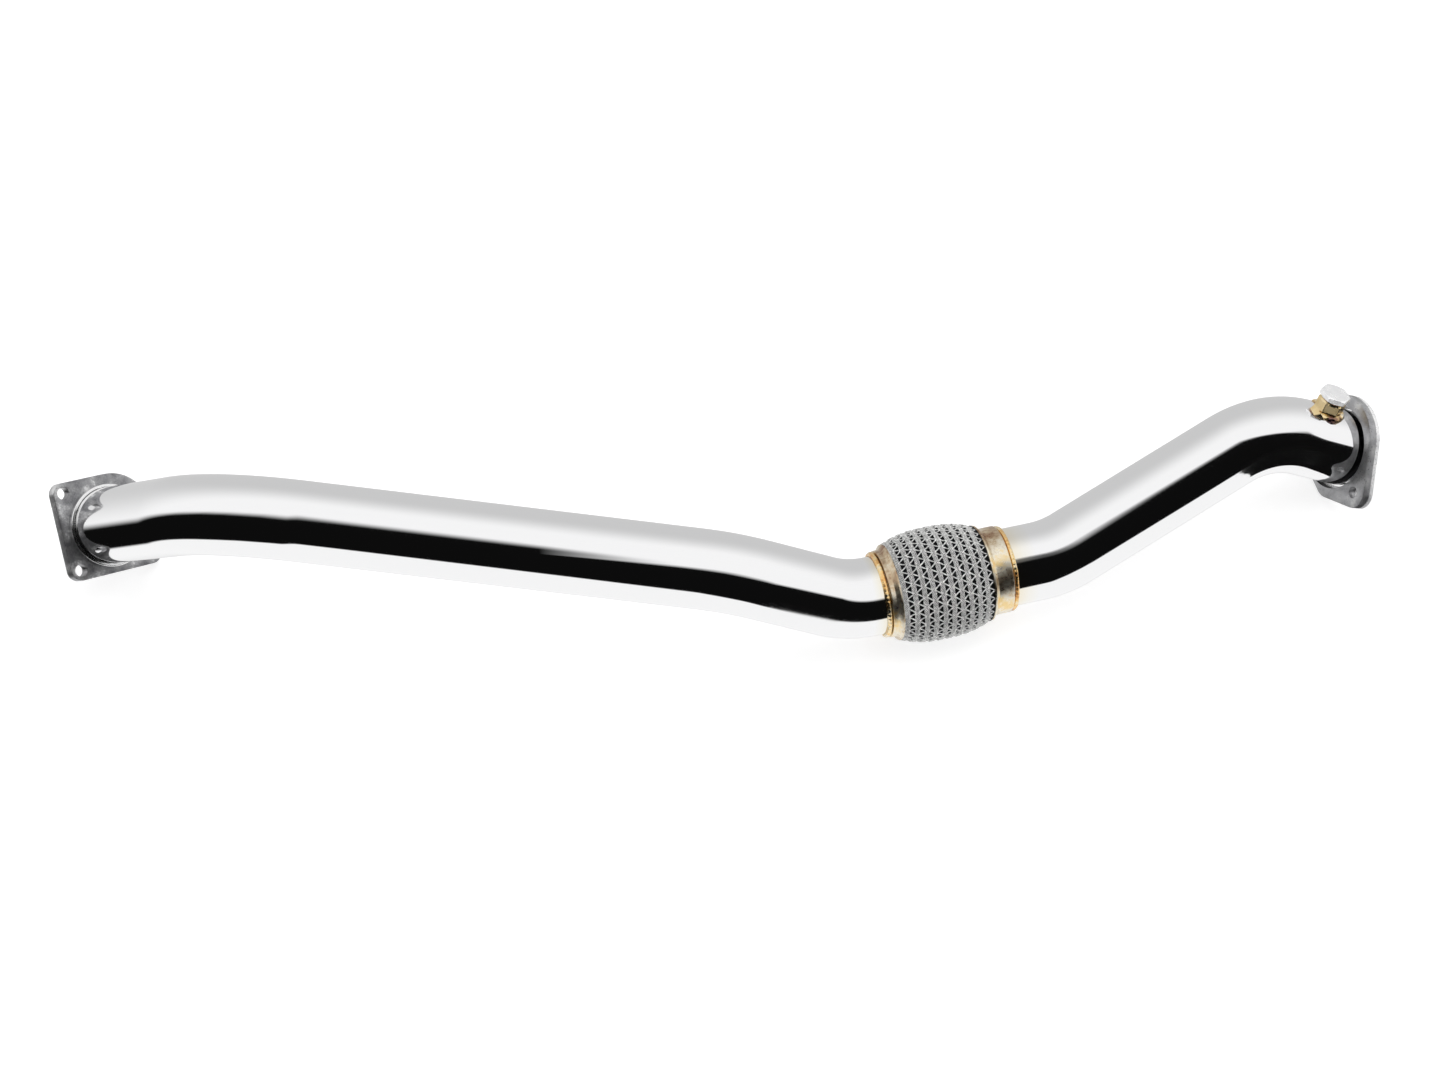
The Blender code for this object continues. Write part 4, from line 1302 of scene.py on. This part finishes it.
# %% Black between foot and top, grey towards the back
def angle_curve(points):
    """An angle in degrees read from a curve, over compass directions from -180 to 180."""
    node = sky.nodes.new("ShaderNodeFloatCurve")
    line = node.mapping.curves[0]
    while len(line.points) < len(points):
        line.points.new(0.5, 0.5)
    for knot, (direction, angle) in zip(line.points, points):
        knot.location = ((direction + 180) / 360, (angle + 90) / 180)
        knot.handle_type = "VECTOR"
    node.mapping.update()
    sky.links.new(sky_math("DIVIDE", sky_math("ADD", compass, 180.0), 360.0), node.inputs["Value"])
    return sky_math("SUBTRACT", sky_math("MULTIPLY", node.outputs[0], 180.0), 90.0)


over_foot = sky_math("SUBTRACT", above_floor, angle_curve(PANEL_FOOT))
past_foot = between(sky, over_foot, -FOOT_SOFT, FOOT_SOFT, soft=True)
over_top = sky_math("SUBTRACT", above_floor, angle_curve(PANEL_TOP))
past_top = between(sky, over_top, *TOP_SOFT, soft=True)
panel = sky_math("MULTIPLY", past_foot, sky_math("SUBTRACT", 1.0, past_top))
far_side = between(sky, ray_y, *GREY_BACK, soft=True)
tent = sky_math("ADD", TENT_WHITE, sky_math("MULTIPLY", far_side, TENT_GREY - TENT_WHITE))
lit = sky_math("MULTIPLY", tent, sky_math("SUBTRACT", 1.0, panel))
light = sky_math("ADD", lit, sky_math("MULTIPLY", panel, PANEL_BLACK))
print("tent nodes", len(sky.nodes))

# %% [markdown]
# The camera itself sees a plain white world, as in a product photograph, and only the
# other rays see the tent and its panel. A Light Path node tells the two apart.

# %% White for the camera, the tent for all other rays
BACKDROP = 1.05

rays = sky.nodes.new("ShaderNodeLightPath")
glow = sky.nodes.new("ShaderNodeBackground")
plain = sky.nodes.new("ShaderNodeBackground")
for background, strength in ((glow, light), (plain, BACKDROP)):
    background.inputs["Color"].default_value = (1, 1, 1, 1)
    connect(sky, strength, background.inputs["Strength"])
pick = sky.nodes.new("ShaderNodeMixShader")
sky.links.new(rays.outputs["Is Camera Ray"], pick.inputs[0])
sky.links.new(glow.outputs[0], pick.inputs[1])
sky.links.new(plain.outputs[0], pick.inputs[2])
world_out = sky.nodes.new("ShaderNodeOutputWorld")
sky.links.new(pick.outputs[0], world_out.inputs[0])
print("world nodes", len(sky.nodes))

# %% [markdown]
# ## Table and lamps
#
# The photograph's table is so bright that only a faint shadow is left. A white floor with
# a glow of its own gives that: the glow keeps it near white and its grey surface still
# takes a shadow. It lies a hair below zero, so that the part's lowest faces never flicker
# against it. The mirror does not see it: downwards it shows the world's sphere and a card.

# %% The white table
FLOOR_REACH = 8
FLOOR_DROP = 0.0002
TABLE_GREY = 0.5
TABLE_ROUGHNESS = 0.9
TABLE_GLOW = 0.66


def stage_sheet(name, corners, faces):
    """A flat piece of the set, which isn't part of the object."""
    mesh = bpy.data.meshes.new(name)
    mesh.from_pydata(corners, [], faces)
    sheet = bpy.data.objects.new(name, mesh)
    bpy.context.scene.collection.objects.link(sheet)
    return sheet


floor_signs = ((-1, -1), (1, -1), (1, 1), (-1, 1))
floor_corners = [(x * FLOOR_REACH, y * FLOOR_REACH, -FLOOR_DROP) for x, y in floor_signs]
floor = stage_sheet("floor", floor_corners, [(0, 1, 2, 3)])
floor_look, tree, inputs = material("white_table")
inputs["Base Color"].default_value = (TABLE_GREY, TABLE_GREY, TABLE_GREY, 1)
inputs["Roughness"].default_value = TABLE_ROUGHNESS
inputs["Emission Color"].default_value = (1, 1, 1, 1)
inputs["Emission Strength"].default_value = TABLE_GLOW
floor.data.materials.append(floor_look)
floor.visible_glossy = False
print("floor", floor.dimensions)


# %% Two soft lamps that the mirror does not see
def lamp(name, place, target, size, power):
    data = bpy.data.lights.new(name, "AREA")
    data.shape = "RECTANGLE"
    data.size, data.size_y = size
    data.energy = power
    item = bpy.data.objects.new(name, data)
    item.location = place
    item.rotation_euler = (Vector(target) - Vector(place)).to_track_quat("-Z", "Y").to_euler()
    item.visible_glossy = False
    bpy.context.scene.collection.objects.link(item)
    print(name, power, "W")


lamp("top_light", place=(0.2, 0.5, 2.4), target=(0, 0, 0), size=(3.0, 2.0), power=26.0)
lamp("front_fill", place=(0.2, -2.0, 1.6), target=(0.1, 0, 0), size=(2.4, 1.2), power=30.0)

# %% [markdown]
# ## Two cards for the mirror
#
# A studio helps a mirror with cards that stay out of the picture. The last bend looks
# past the panel's foot, so a dark card below the table carries the stripe on. The cards
# could be part of the world's sphere, but they have to be near: only then does one bend
# see them while its neighbour, which faces the same way, doesn't. Their corners were set
# over points where rays from the camera, traced off the tubes, meet the card.


# %% The dark card below the table
def only_mirrored(card):
    card.visible_camera = False
    card.visible_diffuse = False
    card.visible_shadow = False


LOW_CARD_HEIGHT = -0.02
LOW_CARD = (
    (0.522, 0.020), (0.512, -0.002), (0.596, -0.086), (0.733, -0.203), (0.879, -0.315),
    (0.975, -0.395), (1.140, -0.550), (9.000, -7.600), (9.000, 3.000), (0.600, 0.300),
)
low_corners = [(x, y, LOW_CARD_HEIGHT) for x, y in LOW_CARD]
low_card = stage_sheet("low_card", low_corners, [tuple(range(len(LOW_CARD)))])
black_look, tree, inputs = material("black_card")
inputs["Base Color"].default_value = (PANEL_BLACK, PANEL_BLACK, PANEL_BLACK, 1)
inputs["Specular IOR Level"].default_value = 0.0
low_card.data.materials.append(black_look)
only_mirrored(low_card)
print("low card corners", len(LOW_CARD))

# %% [markdown]
# The bend before the joint mirrors the same directions as the short tube behind it, and
# would show the stripe too thick. A white card above that bend hides the panel's upper
# part from it alone. A card with sharp edges would show them in the tube, so this
# one fades out towards its front, its back and its left end.

# %% The outline of the white card
HIGH_CARD_HEIGHT = 0.17
STATION_CORNERS = 4
# Each station has x at the front, x at the back, then y where the front starts to cover and
# covers in full, and y where the back covers in full and ends, then the share it covers.
HIGH_CARD = (
    (-0.130, -0.130, -0.142, -0.134, -0.120, -0.090, 0.0),
    (-0.020, -0.020, -0.154, -0.142, -0.115, -0.085, 1.0),
    (0.030, 0.030, -0.166, -0.150, -0.115, -0.085, 1.0),
    (0.060, 0.060, -0.177, -0.157, -0.115, -0.085, 1.0),
    (0.088, 0.088, -0.188, -0.166, -0.105, -0.070, 1.0),
    (0.141, 0.141, -0.209, -0.183, -0.098, -0.062, 1.0),
    (0.184, 0.184, -0.228, -0.200, -0.095, -0.060, 1.0),
    (0.262, 0.240, -0.236, -0.204, -0.090, -0.055, 1.0),
    (0.292, 0.258, -0.236, -0.204, -0.090, -0.055, 1.0),
)
corners, cover, faces = [], [], []
for front_x, back_x, clear_front, full_front, full_back, clear_back, amount in HIGH_CARD:
    for x, y in ((front_x, clear_front), (front_x, full_front), (back_x, full_back), (back_x, clear_back)):
        corners.append((x, y, HIGH_CARD_HEIGHT))
    cover += [0.0, amount, amount, 0.0]
for station in range(len(HIGH_CARD) - 1):
    for k in range(STATION_CORNERS - 1):
        corner = station * STATION_CORNERS + k
        across = corner + STATION_CORNERS
        faces.append((corner, across, across + 1, corner + 1))
high_card = stage_sheet("high_card", corners, faces)
write_values(high_card, "cover", cover)
only_mirrored(high_card)
print("high card faces", len(faces))

# %% A glow that fades with the cover
white_look = bpy.data.materials.new("white_card")
white_look.use_nodes = True
tree = white_look.node_tree
tree.nodes.clear()
white_glow = tree.nodes.new("ShaderNodeEmission")
white_glow.inputs["Strength"].default_value = TENT_WHITE
clear = tree.nodes.new("ShaderNodeBsdfTransparent")
cover_value = tree.nodes.new("ShaderNodeAttribute")
cover_value.attribute_name = "cover"
blend = tree.nodes.new("ShaderNodeMixShader")
tree.links.new(cover_value.outputs["Fac"], blend.inputs[0])
tree.links.new(clear.outputs[0], blend.inputs[1])
tree.links.new(white_glow.outputs[0], blend.inputs[2])
white_out = tree.nodes.new("ShaderNodeOutputMaterial")
tree.links.new(blend.outputs[0], white_out.inputs["Surface"])
high_card.data.materials.append(white_look)
print("card materials", black_look.name, white_look.name)

# %% [markdown]
# ## Camera
#
# The camera stands where the photographer's stood. Its place, its axes and its focal
# length in photograph pixels were fitted to the outlines together with the bend lists. A
# sensor of 36 mm turns the focal length into a lens in millimetres.

# %% The photograph's camera
CAMERA_PLACE = (0.053637, -1.248520, 1.545650)
CAMERA_RIGHT = (0.999459, -0.000020, -0.032883)
CAMERA_BACK = (0.025458, -0.632463, 0.774172)
CAMERA_FOCAL = 2372.0
PHOTO_WIDTH = 1445
SENSOR_WIDTH = 36.0

camera_data = bpy.data.cameras.new("camera")
camera_data.sensor_width = SENSOR_WIDTH
camera_data.lens = CAMERA_FOCAL / PHOTO_WIDTH * SENSOR_WIDTH
camera = bpy.data.objects.new("camera", camera_data)
back = Vector(CAMERA_BACK).normalized()
right = Vector(CAMERA_RIGHT)
right = (right - back * right.dot(back)).normalized()
axes = Matrix((right, back.cross(right), back)).transposed().to_4x4()
camera.matrix_world = Matrix.Translation(CAMERA_PLACE) @ axes
scene = bpy.context.scene
scene.collection.objects.link(camera)
scene.camera = camera
scene.view_settings.view_transform = "Standard"
print("lens", camera_data.lens, "mm")

# %% Finish
print("done")
